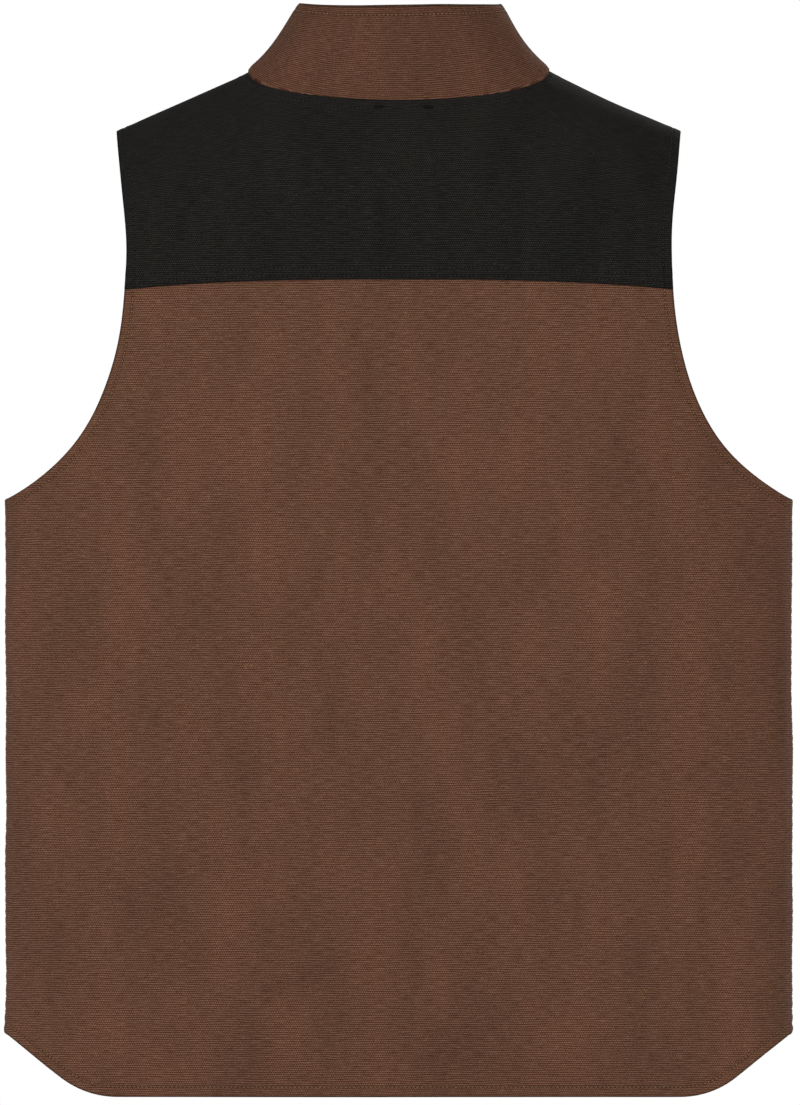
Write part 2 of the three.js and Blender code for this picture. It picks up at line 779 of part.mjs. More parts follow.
const boxHalfDepth = halfTeeth + boxWall;
const boxHalfWidth = sliderWidth / 2;
add(
  "retainer_box",
  block(-boxHalfWidth, boxHalfWidth, zipY - boxHalfDepth, zipY + boxHalfDepth, -frontLength, boxTop),
  brass,
);
add(
  "insertion_pin",
  block(
    teethInner,
    teethOuter,
    zipY - halfTeeth,
    zipY + halfTeeth,
    teethBottom,
    teethBottom + pinHeight,
  ),
  brass,
);

const frontPlateY = zipY + halfTeeth + gap;
const backPlateY = zipY - halfTeeth - gap - plateThickness;
const outerFaceY = frontPlateY + plateThickness;
const slider = new THREE.Group();
slider.position.z = sliderBottom;
vest.add(slider);
const halfDivider = dividerWidth / 2;
const divider = block(
  -halfDivider,
  halfDivider,
  backPlateY + 0.2,
  outerFaceY - 0.2,
  sliderLength * 0.45,
  sliderLength - 0.4,
);
const outline = sliderShape(sliderWidth, sliderLength);
add(
  "zip_slider",
  join(
    plate(outline, frontPlateY, plateThickness),
    plate(outline, backPlateY, plateThickness),
    divider,
    ...bridge(outerFaceY, sliderLength / 2),
  ),
  brass,
  slider,
);
const pull = new THREE.Group();
pull.position.set(0, outerFaceY + bridgeRoom / 2, sliderLength / 2);
slider.add(pull);
add("zip_pull", pullTab(), brass, pull);

// ---- Chest pocket zip, upright on the wearer's left ----------------------

const chestZip = new THREE.Group();
const chestAt = surface(...spot(FRONT, -chestZipX, chestZipBottom));
const chestNormal = normalOf(surface, ...spot(FRONT, -chestZipX, chestZipBottom));
chestZip.position.copy(chestAt);
chestZip.rotation.z = Math.atan2(chestNormal.y, chestNormal.x) - quarterTurn;
vest.add(chestZip);
const halfChestTape = chestTapeWidth / 2;
const chestTapeY = 2 * gap;
const chestTeethY = chestTapeY + tapeThickness + gap;
const chestTeethHalf = chestTeethWidth / 2;
add(
  "chest_zip_tape",
  block(-halfChestTape, halfChestTape, chestTapeY, chestTapeY + tapeThickness, 0, chestZipLength),
  webbing,
  chestZip,
);
add(
  "chest_zip_teeth",
  block(
    -chestTeethHalf,
    chestTeethHalf,
    chestTeethY,
    chestTeethY + chestTeethThickness,
    chestStop,
    chestZipLength - chestStop,
  ),
  brass,
  chestZip,
);
const chestOuterY = chestTeethY + chestTeethThickness + gap + plateThickness;
const chestSliderGroup = new THREE.Group();
chestSliderGroup.position.z = chestZipLength - chestStop - chestSliderLength;
chestZip.add(chestSliderGroup);
const capHalf = chestSliderWidth / 2;
const channelHalf = chestTeethHalf + gap;
const channelTop = chestTeethY + chestTeethThickness + gap;
const capShape = sliderShape(chestSliderWidth, chestSliderLength);
const cap = cut(
  plate(capShape, chestTeethY, chestOuterY - chestTeethY),
  block(-channelHalf, channelHalf, chestTeethY - 1, channelTop, -1, chestSliderLength + 1),
);
add(
  "chest_slider",
  join(cap, ...bridge(chestOuterY, chestSliderLength / 2)),
  brass,
  chestSliderGroup,
);
const chestPull = new THREE.Group();
chestPull.position.set(0, chestOuterY + bridgeRoom / 2, chestSliderLength / 2);
chestSliderGroup.add(chestPull);
add("chest_pull", pullTab(), brass, chestPull);

// ---- Patch pockets ------------------------------------------------------

const pocketTop = -pocketTopDrop;
const pocketBottom = pocketTop - pocketHeight;
const pocketOuterX = pocketInnerX + pocketWidth;
const pocketDepth = (z) =>
  lerp(pocketTopDepth, pocketBottomDepth, (pocketTop - z) / pocketHeight);
const flapSeam = pocketTop + flapRise;

function flapInner(z) {
  const full = gap + pocketDepth(Math.min(z, pocketTop)) + flapClearance;
  const share = Math.min(1, (flapSeam - z) / flapRamp);
  return lerp(gap, full, share);
}

// A round disc standing on an offset of the surface.
function disc(x, z, distance, radius, height) {
  const at = offsetSurface((p) => distance(p.z));
  const [girth, turn] = spot(FRONT, x, z);
  const normal = normalOf(at, girth, turn);
  const centre = at(girth, turn).addScaledVector(normal, gap + height / 2);
  const geometry = new THREE.CylinderGeometry(radius * snapTaper, radius, height, 20);
  const upright = new THREE.Vector3(0, 1, 0);
  geometry.applyQuaternion(new THREE.Quaternion().setFromUnitVectors(upright, normal));
  return geometry.translate(centre.x, centre.y, centre.z);
}

// A sheet in front of the panel between given distances, with rows at given heights.
function frontSheet(x0, x1, heights, inner, outer) {
  const net = heights.map((z) =>
    girths.map((girth) => [girth, turnOf(sectionAt(girth).x, z, FRONT)]),
  );
  const distanceAt = (distance) => offsetSurface((p) => distance(p.z));
  const whole = sheet(net, distanceAt(inner), distanceAt(outer));
  const [low, high] = x0 < x1 ? [x0, x1] : [x1, x0];
  return common(whole, block(low, high, 0, far, -far * 3, far));
}

for (const [name, hand] of sides) {
  const bagOuter = (z) => gap + pocketDepth(z);
  const body = frontSheet(
    hand * pocketInnerX,
    hand * pocketOuterX,
    [pocketTop, pocketBottom],
    () => gap,
    bagOuter,
  );
  const hollow = frontSheet(
    hand * (pocketInnerX + pocketWall),
    hand * (pocketOuterX - pocketWall),
    [pocketTop + pocketWall, pocketBottom + pocketWall],
    () => gap + pocketWall,
    (z) => bagOuter(z) - pocketWall,
  );
  add(`${name}_patch_pocket`, cut(body, hollow), brownDuck);

  const flapHeights = [
    flapSeam,
    flapSeam - flapRamp,
    pocketTop,
    flapSeam - flapLength,
  ];
  const flap = frontSheet(
    hand * (pocketInnerX - flapOverhang),
    hand * (pocketOuterX + flapOverhang),
    flapHeights,
    flapInner,
    (z) => flapInner(z) + shellWall,
  );
  add(`${name}_pocket_flap`, flap, brownDuck);
  const snapX = hand * (pocketInnerX + pocketWidth / 2);
  const snapZ = flapSeam - flapLength + snapFromFlapEdge;
  const onFlap = (z) => flapInner(z) + shellWall;
  add(`${name}_snap_stud`, disc(snapX, snapZ, bagOuter, studRadius, studHeight), brass);
  add(`${name}_snap_cap`, disc(snapX, snapZ, onFlap, snapRadius, snapHeight), brass);
}

export default vest;
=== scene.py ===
# %% [markdown]
# # A canvas work vest with a black yoke
# The vest is sewn from two colours of cotton duck, a heavy ribbed canvas, and lined with quilting.
# This lesson builds it piece by piece, the way it is cut and sewn: one shape for the body, pattern
# pieces laid over that shape, then seams, stitches, zips and snaps. The CAD frame is loaded first,
# because every piece takes its size and place from it.

import bmesh
import bpy
import numpy as np
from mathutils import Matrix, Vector


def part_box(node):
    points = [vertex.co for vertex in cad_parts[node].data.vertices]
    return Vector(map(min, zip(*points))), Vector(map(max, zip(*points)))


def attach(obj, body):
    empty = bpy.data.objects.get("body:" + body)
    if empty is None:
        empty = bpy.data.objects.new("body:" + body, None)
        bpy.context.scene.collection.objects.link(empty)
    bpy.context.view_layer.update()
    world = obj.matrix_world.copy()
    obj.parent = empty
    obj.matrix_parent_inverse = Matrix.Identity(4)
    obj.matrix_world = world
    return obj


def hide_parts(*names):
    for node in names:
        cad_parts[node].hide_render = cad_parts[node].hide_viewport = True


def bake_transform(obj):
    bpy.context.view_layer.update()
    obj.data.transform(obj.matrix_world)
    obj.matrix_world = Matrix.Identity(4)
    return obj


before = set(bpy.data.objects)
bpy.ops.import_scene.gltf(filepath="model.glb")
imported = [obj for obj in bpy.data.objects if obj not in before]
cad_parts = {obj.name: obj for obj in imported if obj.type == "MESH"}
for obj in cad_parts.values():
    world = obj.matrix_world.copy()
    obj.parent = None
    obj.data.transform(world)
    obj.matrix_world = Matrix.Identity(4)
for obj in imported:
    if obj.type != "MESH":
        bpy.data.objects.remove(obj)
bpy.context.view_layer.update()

# %% [markdown]
# ## The sizes
# What can be read from the frame's boxes is read there. The rest are the cutter's own numbers,
# in metres, with the height 0 where the shoulders meet the neck.

# %% Sizes
BACK, FRONT = -1, 1


def low_corner(node):
    """The lowest corner of a CAD node's box."""
    return np.array(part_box(node)[0])


def high_corner(node):
    """The highest corner of a CAD node's box."""
    return np.array(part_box(node)[1])


half_width = high_corner("back_panel")[0]
half_depth = -low_corner("back_panel")[1]
back_length = -low_corner("back_panel")[2]
front_length = -low_corner("left_front_edge_panel")[2]
shoulder_half_width = high_corner("yoke")[0]
section_power = 3.0
neck_half_width = 0.108
back_neck_drop = 0.0225
front_neck_drop = 0.085
shoulder_drop = 0.045
shoulder_round = {BACK: 0.150, FRONT: 0.105}
forward_turn = 0.5
arm_half_width = 0.199
arm_narrow_drop = 0.133
arm_depth = 0.314
arm_scoop = {BACK: 0.0, FRONT: 0.009}
yoke_drop = 0.1535
yoke_dip = 0.007
hem_corner_width = 0.081
hem_radius = 0.065
hem_angle = np.radians(38)
front_hem_step = 0.003
zip_edge = 0.009
print(f"chest {4 * half_width:.2f} m round, back {back_length:.3f} m long")

# %% [markdown]
# ## The camera and the light
# The camera comes early so that each new piece can be looked at as it is made. A long lens, far
# away and level, shows the back of a garment with almost no perspective, as in a catalogue.
# The light is plain: a white room, a lamp from above on the back and another on the front, each
# with a wider and weaker lamp across from it.

# %% Camera
view_height = 0.8066
view_middle = (0.0010, -0.3529)
camera_distance = 20.0
camera_data = bpy.data.cameras.new("camera")
camera = bpy.data.objects.new("camera", camera_data)
bpy.context.collection.objects.link(camera)
camera_data.sensor_width = 36
camera_data.lens = camera_data.sensor_width * (camera_distance - half_depth) / view_height
camera.location = (view_middle[0], -camera_distance, view_middle[1])
camera.rotation_euler = (np.pi / 2, 0, 0)
bpy.context.scene.camera = camera
bpy.context.scene.view_settings.view_transform = "Standard"
print(f"lens {camera_data.lens:.0f} mm")


# %% Nodes by name
def add_node(tree, kind, inputs=None, **settings):
    """Adds a node, sets its settings, and sets or links its inputs."""
    made = tree.nodes.new(kind)
    for key, value in settings.items():
        setattr(made, key, value)
    for key, value in (inputs or {}).items():
        if isinstance(value, bpy.types.NodeSocket):
            tree.links.new(value, made.inputs[key])
        else:
            made.inputs[key].default_value = value
    return made


def calculate(tree, operation, a, b=0.0, c=0.0):
    """The result of one sum on sockets or numbers."""
    node = add_node(tree, "ShaderNodeMath", {0: a, 1: b, 2: c}, operation=operation)
    return node.outputs[0]


# %% Lights and room
def lamp(name, place, size, power, target=(0, 0, -0.36)):
    """A square area lamp that faces a target."""
    data = bpy.data.lights.new(name, "AREA")
    data.size = size
    data.energy = power
    made = bpy.data.objects.new(name, data)
    bpy.context.collection.objects.link(made)
    made.location = place
    aim = Vector(target) - Vector(place)
    made.rotation_euler = aim.to_track_quat("-Z", "Y").to_euler()


lamp("key", (-0.8, -2.1, 0.7), 0.8, 26)
lamp("fill", (2.0, -2.4, 0.2), 1.6, 9)
lamp("front_key", (1.6, 2.0, 0.9), 0.9, 38)
lamp("front_fill", (-2.2, 2.4, 0.1), 1.6, 12)
world = bpy.data.worlds.new("white_room")
world.use_nodes = True
room = world.node_tree
room.nodes.clear()
seen = add_node(room, "ShaderNodeBackground", {"Color": (1, 1, 1, 1), "Strength": 1.0})
lit = add_node(room, "ShaderNodeBackground", {"Color": (1, 1, 1, 1), "Strength": 0.46})
path = add_node(room, "ShaderNodeLightPath")
either = add_node(
    room,
    "ShaderNodeMixShader",
    {0: path.outputs["Is Camera Ray"], 1: lit.outputs[0], 2: seen.outputs[0]},
)
add_node(room, "ShaderNodeOutputWorld", {"Surface": either.outputs[0]})
bpy.context.scene.world = world
print("four lamps and a white room")

# %% [markdown]
# ## The body shape
# Every pattern piece lies on one surface. A level cut through the vest is a superellipse: wider
# and squarer than an ellipse, as a garment is on a hanger. "Girth" runs from -1 at the left side
# seam, through 0 at the centre, to 1 at the right. "Turn" is 0 on the shoulder ridge, negative
# down the back and positive down the front, and the cloth is upright past a quarter turn.
# Working in girth and turn means that a piece can be drawn flat, and its layers never cross.


# %% The body surface
def reach(x):
    """Depth of the section at x, as a share of the full depth: (1 - |x/a|^p)^(1/p)."""
    share = np.clip(np.abs(x / half_width), 0, 1)
    return (1 - share**section_power) ** (1 / section_power)


def girth_of(x):
    """Girth at x: one less the angle from the side seam, in quarter turns."""
    return 1 - np.arctan2(reach(x), x / half_width) / (np.pi / 2)


def section(girth):
    """(x, share of the full depth) of the superellipse at a girth."""
    angle = (1 - girth) * np.pi / 2
    c, s = np.cos(angle), np.sin(angle)
    k = (np.abs(c) ** section_power + np.abs(s) ** section_power) ** (-1 / section_power)
    return half_width * k * c, k * s


def ridge(x):
    """Height of the shoulder ridge: a straight slope outside the neck, a parabola inside it."""
    slope = shoulder_drop / (shoulder_half_width - neck_half_width)
    out = np.abs(x) - neck_half_width
    inside = slope * neck_half_width / 2 * (1 - (x / neck_half_width) ** 2)
    return np.where(out > 0, -slope * out, inside)


def turn_of(x, z, side):
    """Turn at a height: arccos(1 - fall) on the round of the shoulder, then straight down."""
    fall = np.maximum(0, (ridge(x) - z) / shoulder_round[side])
    return side * np.where(fall < 1, np.arccos(np.clip(1 - fall, -1, 1)), np.pi / 2 + fall - 1)


def surface(pairs):
    """Points of the body at (girth, turn) pairs: depth grows as sin(turn) and the height falls as
    1 - cos(turn) down to a quarter turn, and both go on straight below it."""
    x, share = section(pairs[..., 0])
    turn = pairs[..., 1]
    side = np.where(turn < 0, BACK, FRONT)
    rounds = np.where(turn < 0, shoulder_round[BACK], shoulder_round[FRONT])
    size = np.abs(turn)
    upright = size >= np.pi / 2
    drop = rounds * np.where(upright, 1 + size - np.pi / 2, 1 - np.cos(size))
    depth = half_depth * share * np.where(upright, 1, np.sin(size))
    return np.stack([x, side * depth, ridge(x) - drop], -1)


def slopes(at, pairs, step=1e-4):
    """Change of a surface along each of its two parameters, from small steps either way."""
    first, second = np.array([step, 0]), np.array([0, step])
    along_first = (at(pairs + first) - at(pairs - first)) / (2 * step)
    along_second = (at(pairs + second) - at(pairs - second)) / (2 * step)
    return along_first, along_second


def unit(vectors):
    """Vectors scaled to length 1."""
    return vectors / np.maximum(np.linalg.norm(vectors, axis=-1, keepdims=True), 1e-12)


def outward(pairs, at=surface):
    """Unit normal of a surface: the cross product of its two slopes."""
    return unit(np.cross(*slopes(at, pairs)))


print("top of the neck ridge", np.round(surface(np.array([0.0, 0.0])), 4))

# %% [markdown]
# ## Drape
# Hung canvas is never quite flat. Its waves are added to the body surface itself, before any
# piece is laid on it, so that canvas, facing and lining wave together and never pass through each
# other. Broad waves are a sum of random sines, and the sharper folds are ridges listed one by one
# where such a vest creases: from the armholes, above the hem and at the collar's root.

# %% Waves and folds
random = np.random.default_rng(11)
wave_count = 26
wave_lengths = random.uniform(0.05, 0.20, wave_count)
wave_headings = unit(random.normal(size=(wave_count, 3)) * [1.0, 0.6, 0.8])
wave_phases = random.uniform(0, 2 * np.pi, wave_count)
wave_height = 0.00034

# centre, heading, half length, half width, height
folds = [
    ((-0.080, -0.06, -0.672), (1.0, 0, 0.35), 0.040, 0.010, -0.0021),
    ((-0.070, -0.06, -0.655), (1.0, 0, 0.30), 0.045, 0.011, 0.0019),
    ((0.255, -0.03, -0.655), (0.7, 0, 0.8), 0.032, 0.009, -0.0021),
    ((0.240, -0.03, -0.640), (0.7, 0, 0.8), 0.036, 0.010, 0.0018),
    ((0.068, -0.06, -0.732), (1.0, 0, -0.12), 0.050, 0.008, -0.0016),
    ((0.162, -0.05, -0.185), (0.5, 0, -1.0), 0.045, 0.011, -0.0018),
    ((0.178, -0.05, -0.200), (0.4, 0, -1.0), 0.050, 0.012, 0.0019),
    ((-0.172, -0.05, -0.215), (-0.4, 0, -1.0), 0.055, 0.012, 0.0018),
    ((-0.225, -0.05, -0.345), (-0.9, 0, -0.5), 0.050, 0.012, 0.0021),
    ((0.225, -0.05, -0.350), (0.9, 0, -0.45), 0.055, 0.013, 0.0021),
    ((0.215, -0.05, -0.375), (0.9, 0, -0.55), 0.050, 0.011, -0.0018),
    ((-0.140, -0.06, -0.560), (0.25, 0, -1.0), 0.090, 0.022, 0.0023),
    ((0.100, -0.06, -0.500), (-0.15, 0, -1.0), 0.110, 0.026, 0.0021),
    ((0.000, -0.06, -0.330), (0.10, 0, -1.0), 0.120, 0.034, -0.0019),
    ((0.094, -0.02, -0.020), (0.9, 0, -0.5), 0.030, 0.008, 0.0018),
    ((-0.190, 0.05, -0.260), (-0.4, 0, -1.0), 0.050, 0.013, 0.0018),
    ((0.190, 0.05, -0.260), (0.4, 0, -1.0), 0.050, 0.013, 0.0018),
    ((-0.200, 0.05, -0.660), (1.0, 0, 0.2), 0.050, 0.013, -0.0018),
    ((0.180, 0.05, -0.655), (1.0, 0, -0.2), 0.050, 0.013, -0.0018),
]


def smooth_step(value):
    """0 below 0 and 1 above 1, with a smooth S between."""
    t = np.clip(value, 0, 1)
    return t * t * (3 - 2 * t)


held_fade = 0.03
held_zip = 0.015


def held_near(x, z, low, high):
    """1 inside a box seen from the front, fading to 0 over 30 mm round it."""
    beside = np.maximum(low[0] - x, x - high[0])
    past = np.maximum(low[2] - z, z - high[2])
    return 1 - smooth_step(np.maximum(beside, past) / held_fade)


def held_flat(points):
    """How far the zips and pockets hold the canvas flat: the most that any of them does."""
    x, y, z = points[..., 0], points[..., 1], points[..., 2]
    at_zip = 1 - smooth_step((np.abs(x) - held_zip) / held_fade)
    pocket = low_corner("right_patch_pocket"), high_corner("right_pocket_flap")
    at_pocket = held_near(np.abs(x), z, *pocket)
    tape = low_corner("chest_zip_tape"), high_corner("chest_zip_tape")
    at_chest = held_near(x, z, *tape)
    return np.where(y > 0, np.maximum(np.maximum(at_zip, at_pocket), at_chest), 0)


def drape(points):
    """Height of the waves and folds: a sum of sines, and for each fold a bell across it and
    another along it. Both fade where the canvas is held flat, and near the side seams."""
    total = np.zeros(points.shape[:-1])
    for length, heading, phase in zip(wave_lengths, wave_headings, wave_phases):
        total += wave_height * np.sin(points @ heading * 2 * np.pi / length + phase)
    total *= 0.6 + 0.8 * smooth_step(-points[..., 2] / back_length)
    for centre, heading, half_length, half_fold, height in folds:
        away = points - np.array(centre)
        along = away @ unit(np.array(heading))
        across = np.sqrt(np.maximum((away**2).sum(-1) - along**2, 0))
        total += height * np.exp(-((along / half_length) ** 2) - (across / half_fold) ** 2)
    at_side = smooth_step((np.abs(points[..., 0]) - 0.9 * half_width) / (0.1 * half_width))
    return total * (1 - held_flat(points)) * (1 - 0.75 * at_side)


def cloth(pairs, lift=0.0):
    """Points a given lift off the draped body: body + normal x (lift + drape)."""
    points = surface(pairs)
    return points + outward(pairs) * (lift + drape(points))[..., None]


print(f"{wave_count} waves and {len(folds)} folds")

# %% [markdown]
# ## Pattern edges
# A pattern piece is known by its edges. Each edge is a line of (girth, turn) pairs, taken from
# the same curves as the frame: two Bezier curves for the armhole, ellipse quarters for the neck,
# a gentle dip for the yoke seam, and a flat, an arc and a slope for the drop-tail hem.


# %% Edge curves
def bezier(points, count=60):
    """A cubic Bezier curve through its first and last points."""
    t = np.linspace(0, 1, count)[:, None]
    a, b, c, d = (np.array(p) for p in points)
    return a * (1 - t) ** 3 + 3 * b * t * (1 - t) ** 2 + 3 * c * t**2 * (1 - t) + d * t**3


def mix(a, b, share):
    """The value a share of the way from a to b."""
    return a + (b - a) * share


arm_upper = bezier(
    [
        (shoulder_half_width, -shoulder_drop),
        (mix(arm_half_width, shoulder_half_width, 0.57), -0.6 * arm_narrow_drop),
        (arm_half_width, -0.8 * arm_narrow_drop),
        (arm_half_width, -arm_narrow_drop),
    ]
)
arm_lower = bezier(
    [
        (arm_half_width, -arm_narrow_drop),
        (arm_half_width, -mix(arm_narrow_drop, arm_depth, 0.6)),
        (mix(arm_half_width, half_width, 0.42), -mix(arm_narrow_drop, arm_depth, 0.85)),
        (half_width, -arm_depth),
    ]
)
arm_curve = np.concatenate([arm_upper, arm_lower[1:]])


def arm_line(side, inset=0.0):
    """(x, z) points of the armhole edge, moved into the cloth, and run on past the side seam."""
    share = np.linspace(0, 1, len(arm_curve))
    scooped = arm_curve - [[1, 0]] * (arm_scoop[side] * np.sin(np.pi * share) ** 2)[:, None]
    tangent = unit(np.gradient(arm_curve, axis=0))
    moved = scooped + np.stack([tangent[:, 1], -tangent[:, 0]], 1) * inset
    return np.concatenate([moved, moved[-1:] + [[0.1, -0.05]]])


def arm_half(z, side, inset=0.0):
    """Half the width between the armholes at a height, and half the chest below them."""
    line = arm_line(side, inset)
    return np.minimum(np.interp(-z, -line[:, 1], line[:, 0]), half_width)


def pairs_at(x, z, side):
    """(girth, turn) pairs of points given by x and z on one side."""
    return np.stack([girth_of(x), turn_of(x, z, side)], -1)


def arm_edge(side, z_from, z_to, inset=0.0, count=240):
    """The right armhole and side seam edge between two heights."""
    z = np.linspace(z_from, z_to, count)
    return pairs_at(arm_half(z, side, inset), z, side)


def across(side, x_from, x_to, height, count=160):
    """A line across one side at a height that depends on x, evenly spaced in girth."""
    girth = np.linspace(girth_of(x_from), girth_of(x_to), count)
    x = section(girth)[0]
    return pairs_at(x, height(x), side)


def yoke_line(x):
    """Height of the yoke seam: level at the centre, dipping as the cube of x."""
    return -yoke_drop - yoke_dip * np.abs(x / arm_half_width) ** 3


def back_hem(x):
    """Height of the back hem: level, then an arc, then a straight slope up to the side seam."""
    out = np.abs(x) - (half_width - hem_corner_width)
    arc = hem_radius * np.sin(hem_angle)
    on_arc = hem_radius - np.sqrt(np.maximum(hem_radius**2 - np.clip(out, 0, arc) ** 2, 0))
    return -back_length + on_arc + np.maximum(out - arc, 0) * np.tan(hem_angle)


def front_hem(x):
    """Height of the front hem: a parabola from the centre to just above the back hem's end."""
    side_end = back_hem(half_width) + front_hem_step
    return mix(-front_length, side_end, (x / half_width) ** 2)


def neck_pairs(angle):
    """Pairs of the neck seam at angles: 0 is the centre back and pi the centre front."""
    c = np.cos(angle)
    x = neck_half_width * np.sin(angle)
    z = np.where(c > 0, -back_neck_drop * c, front_neck_drop * c)
    return np.where((c > 0)[..., None], pairs_at(x, z, BACK), pairs_at(x, z, FRONT))


def neck_edge(start, end, count=60):
    """The neck seam between two angles."""
    return neck_pairs(np.linspace(start, end, count))


def forward_seam(x):
    """Height of the shoulder seam, a fixed turn forward of the ridge."""
    return ridge(x) - shoulder_round[FRONT] * (1 - np.cos(forward_turn))


def meeting_angle():
    """The neck angle at which the neck seam meets the forward shoulder seam."""
    angle = np.linspace(np.pi / 2, np.pi, 4001)
    x, z = neck_half_width * np.sin(angle), front_neck_drop * np.cos(angle)
    return angle[np.argmax(z < forward_seam(x))]


forward_angle = meeting_angle()
zip_angle = np.pi - np.arcsin(zip_edge / neck_half_width)
print(f"the shoulder seam meets the neck at {np.degrees(forward_angle):.0f} degrees")

# %% [markdown]
# ## From edges to a sewn piece
# Four edges make a patch: opposite edges are mixed, and what both mixes counted twice is taken
# off. That is a Coons patch, and it follows curved armholes and hems with no cutting. The patch
# is then given an outer face, an inner face and a rounded rim, which makes it one closed piece of
# cloth. The piece also carries its own map, in metres along and across the cloth, so that the
# weave has its real size everywhere.


# %% Patches
def length_along(path):
    """Length of a path of points, from its start to each of them."""
    return np.concatenate([[0], np.linalg.norm(np.diff(path, axis=0), axis=1).cumsum()])


def resample(edge, shares, at=surface):
    """Pairs along an edge at shares of its real length."""
    lengths = length_along(at(edge))
    where = shares * lengths[-1]
    return np.stack([np.interp(where, lengths, edge[:, k]) for k in (0, 1)], -1)


def crowded(count, pull=0.65):
    """Shares from 0 to 1, closer together at both ends, where the seams are."""
    t = np.linspace(0, 1, count)
    return mix(t, (1 - np.cos(np.pi * t)) / 2, pull)


def patch(bottom, top, left, right, columns, rows):
    """Coons patch of pairs: mix of bottom and top, plus mix of left and right, less the corners."""
    u, v = crowded(columns), crowded(rows)
    b, t = resample(bottom, u)[None], resample(top, u)[None]
    l, r = resample(left, v)[:, None], resample(right, v)[:, None]
    u, v = u[None, :, None], v[:, None, None]
    corners = mix(mix(b[:, :1], b[:, -1:], u), mix(t[:, :1], t[:, -1:], u), v)
    return mix(b, t, v) + mix(l, r, u) - corners


def mirrored(pairs):
    """The same pairs on the other half of the body."""
    return pairs * [-1, 1]


arc_x, arc_share = section(np.linspace(0, 1, 400))
arc_steps = np.hypot(np.diff(arc_x), np.diff(arc_share * half_depth))
arc_length = np.concatenate([[0], arc_steps.cumsum()])


def cloth_map(pairs):
    """Metres across the cloth from the centre, and metres up it."""
    girth, turn = pairs[..., 0], pairs[..., 1]
    s = np.sign(girth) * np.interp(np.abs(girth), np.linspace(0, 1, 400), arc_length)
    x = section(girth)[0]
    behind = shoulder_round[BACK] * (np.pi / 2 - 1 + np.minimum(turn, 0))
    before = shoulder_round[FRONT] * np.maximum(turn, 0)
    front_half = turn.mean() > 1
    up = shoulder_round[FRONT] * (np.pi / 2 - 1 - turn) if front_half else behind + before
    return np.stack([s, ridge(x) + up], -1)


def make_object(name, points, faces, material, map_points=None, seam=None, smooth=True):
    """A closed mesh at the origin, turned to face out, with its cloth map and seam distances."""
    volume = 0.0
    for group in faces:
        for k in range(1, group.shape[1] - 1):
            a, b, c = points[group[:, 0]], points[group[:, k]], points[group[:, k + 1]]
            volume += (a * np.cross(b, c)).sum()
    if volume < 0:
        faces = [group[:, ::-1] for group in faces]
    mesh = bpy.data.meshes.new(name)
    mesh.from_pydata(points, [], [face for group in faces for face in group.tolist()])
    if map_points is not None:
        layer = mesh.uv_layers.new(name="cloth")
        corners = np.concatenate([group.ravel() for group in faces])
        layer.data.foreach_set("uv", map_points[corners].astype(np.float32).ravel())
    distance = np.ones(len(points)) if seam is None else seam
    mesh.attributes.new("seam", "FLOAT", "POINT").data.foreach_set(
        "value", distance.astype(np.float32)
    )
    if smooth:
        mesh.shade_smooth()
    mesh.validate()
    made = bpy.data.objects.new(name, mesh)
    bpy.context.collection.objects.link(made)
    mesh.materials.append(material)
    return made


def rim_of(rows, columns):
    """Indices round the edge of a grid, and of the points one step inside them."""
    i = np.r_[
        np.zeros(columns - 1, int),
        np.arange(rows - 1),
        np.full(columns - 1, rows - 1),
        np.arange(rows - 1, 0, -1),
    ]
    j = np.r_[
        np.arange(columns - 1),
        np.full(rows - 1, columns - 1),
        np.arange(columns - 1, 0, -1),
        np.zeros(rows - 1, int),
    ]
    inside = np.clip(i, 1, rows - 2) * columns + np.clip(j, 1, columns - 2)
    return i * columns + j, inside


def grid_quads(rows, columns):
    """The quads of a grid, as indices."""
    a = (np.arange(rows - 1)[:, None] * columns + np.arange(columns - 1)).ravel()
    return np.stack([a, a + 1, a + columns + 1, a + columns], 1)


def closed_sheet(name, outer, inner, cloth_uv, material, seam=None, rim_steps=3):
    """Two grids joined round their rims by a half circle, which rounds the cloth's edge."""
    rows, columns = outer.shape[:2]
    count = rows * columns
    top, under = outer.reshape(-1, 3), inner.reshape(-1, 3)
    rim, inside = rim_of(rows, columns)
    middle, half = (top[rim] + under[rim]) / 2, (top[rim] - under[rim]) / 2
    away = unit(middle - (top[inside] + under[inside]) / 2)
    reach_out = away * np.linalg.norm(half, axis=1, keepdims=True)
    angles = np.pi * np.arange(1, rim_steps) / rim_steps
    rings = [middle + half * np.cos(a) + reach_out * np.sin(a) * 0.8 for a in angles]
    points = np.concatenate([top, under, *rings])
    quads = grid_quads(rows, columns)
    levels = [rim] + [2 * count + k * len(rim) + np.arange(len(rim)) for k in range(len(rings))]
    levels.append(rim + count)
    strips = [
        np.stack([b, np.roll(b, -1), np.roll(a, -1), a], 1) for a, b in zip(levels, levels[1:])
    ]
    flat_uv = cloth_uv.reshape(-1, 2)
    uv = np.concatenate([flat_uv, flat_uv, *[flat_uv[rim]] * len(rings)])
    if seam is not None:
        flat = seam.ravel()
        seam = np.concatenate([flat, flat, *[flat[rim]] * len(rings)])
    faces = [np.concatenate([quads, quads[:, ::-1] + count, *strips])]
    return make_object(name, points, faces, material, uv, seam)


def cloth_sheet(name, pairs, outer, inner, material, seam=None, rim_steps=3):
    """A closed sheet on the draped body, between two lifts off it."""
    outer_face, inner_face = cloth(pairs, outer), cloth(pairs, inner)
    return closed_sheet(name, outer_face, inner_face, cloth_map(pairs), material, seam, rim_steps)


print("patches, rims and maps are ready")

# %% [markdown]
# ## Seams
# A seam shows by what it does to the cloth around it. The folded allowance under an edge lifts it
# by about a millimetre, each row of stitches pulls a small groove, and the cloth puckers between
# stitches. All three depend only on the distance to the edge, so one function makes them.


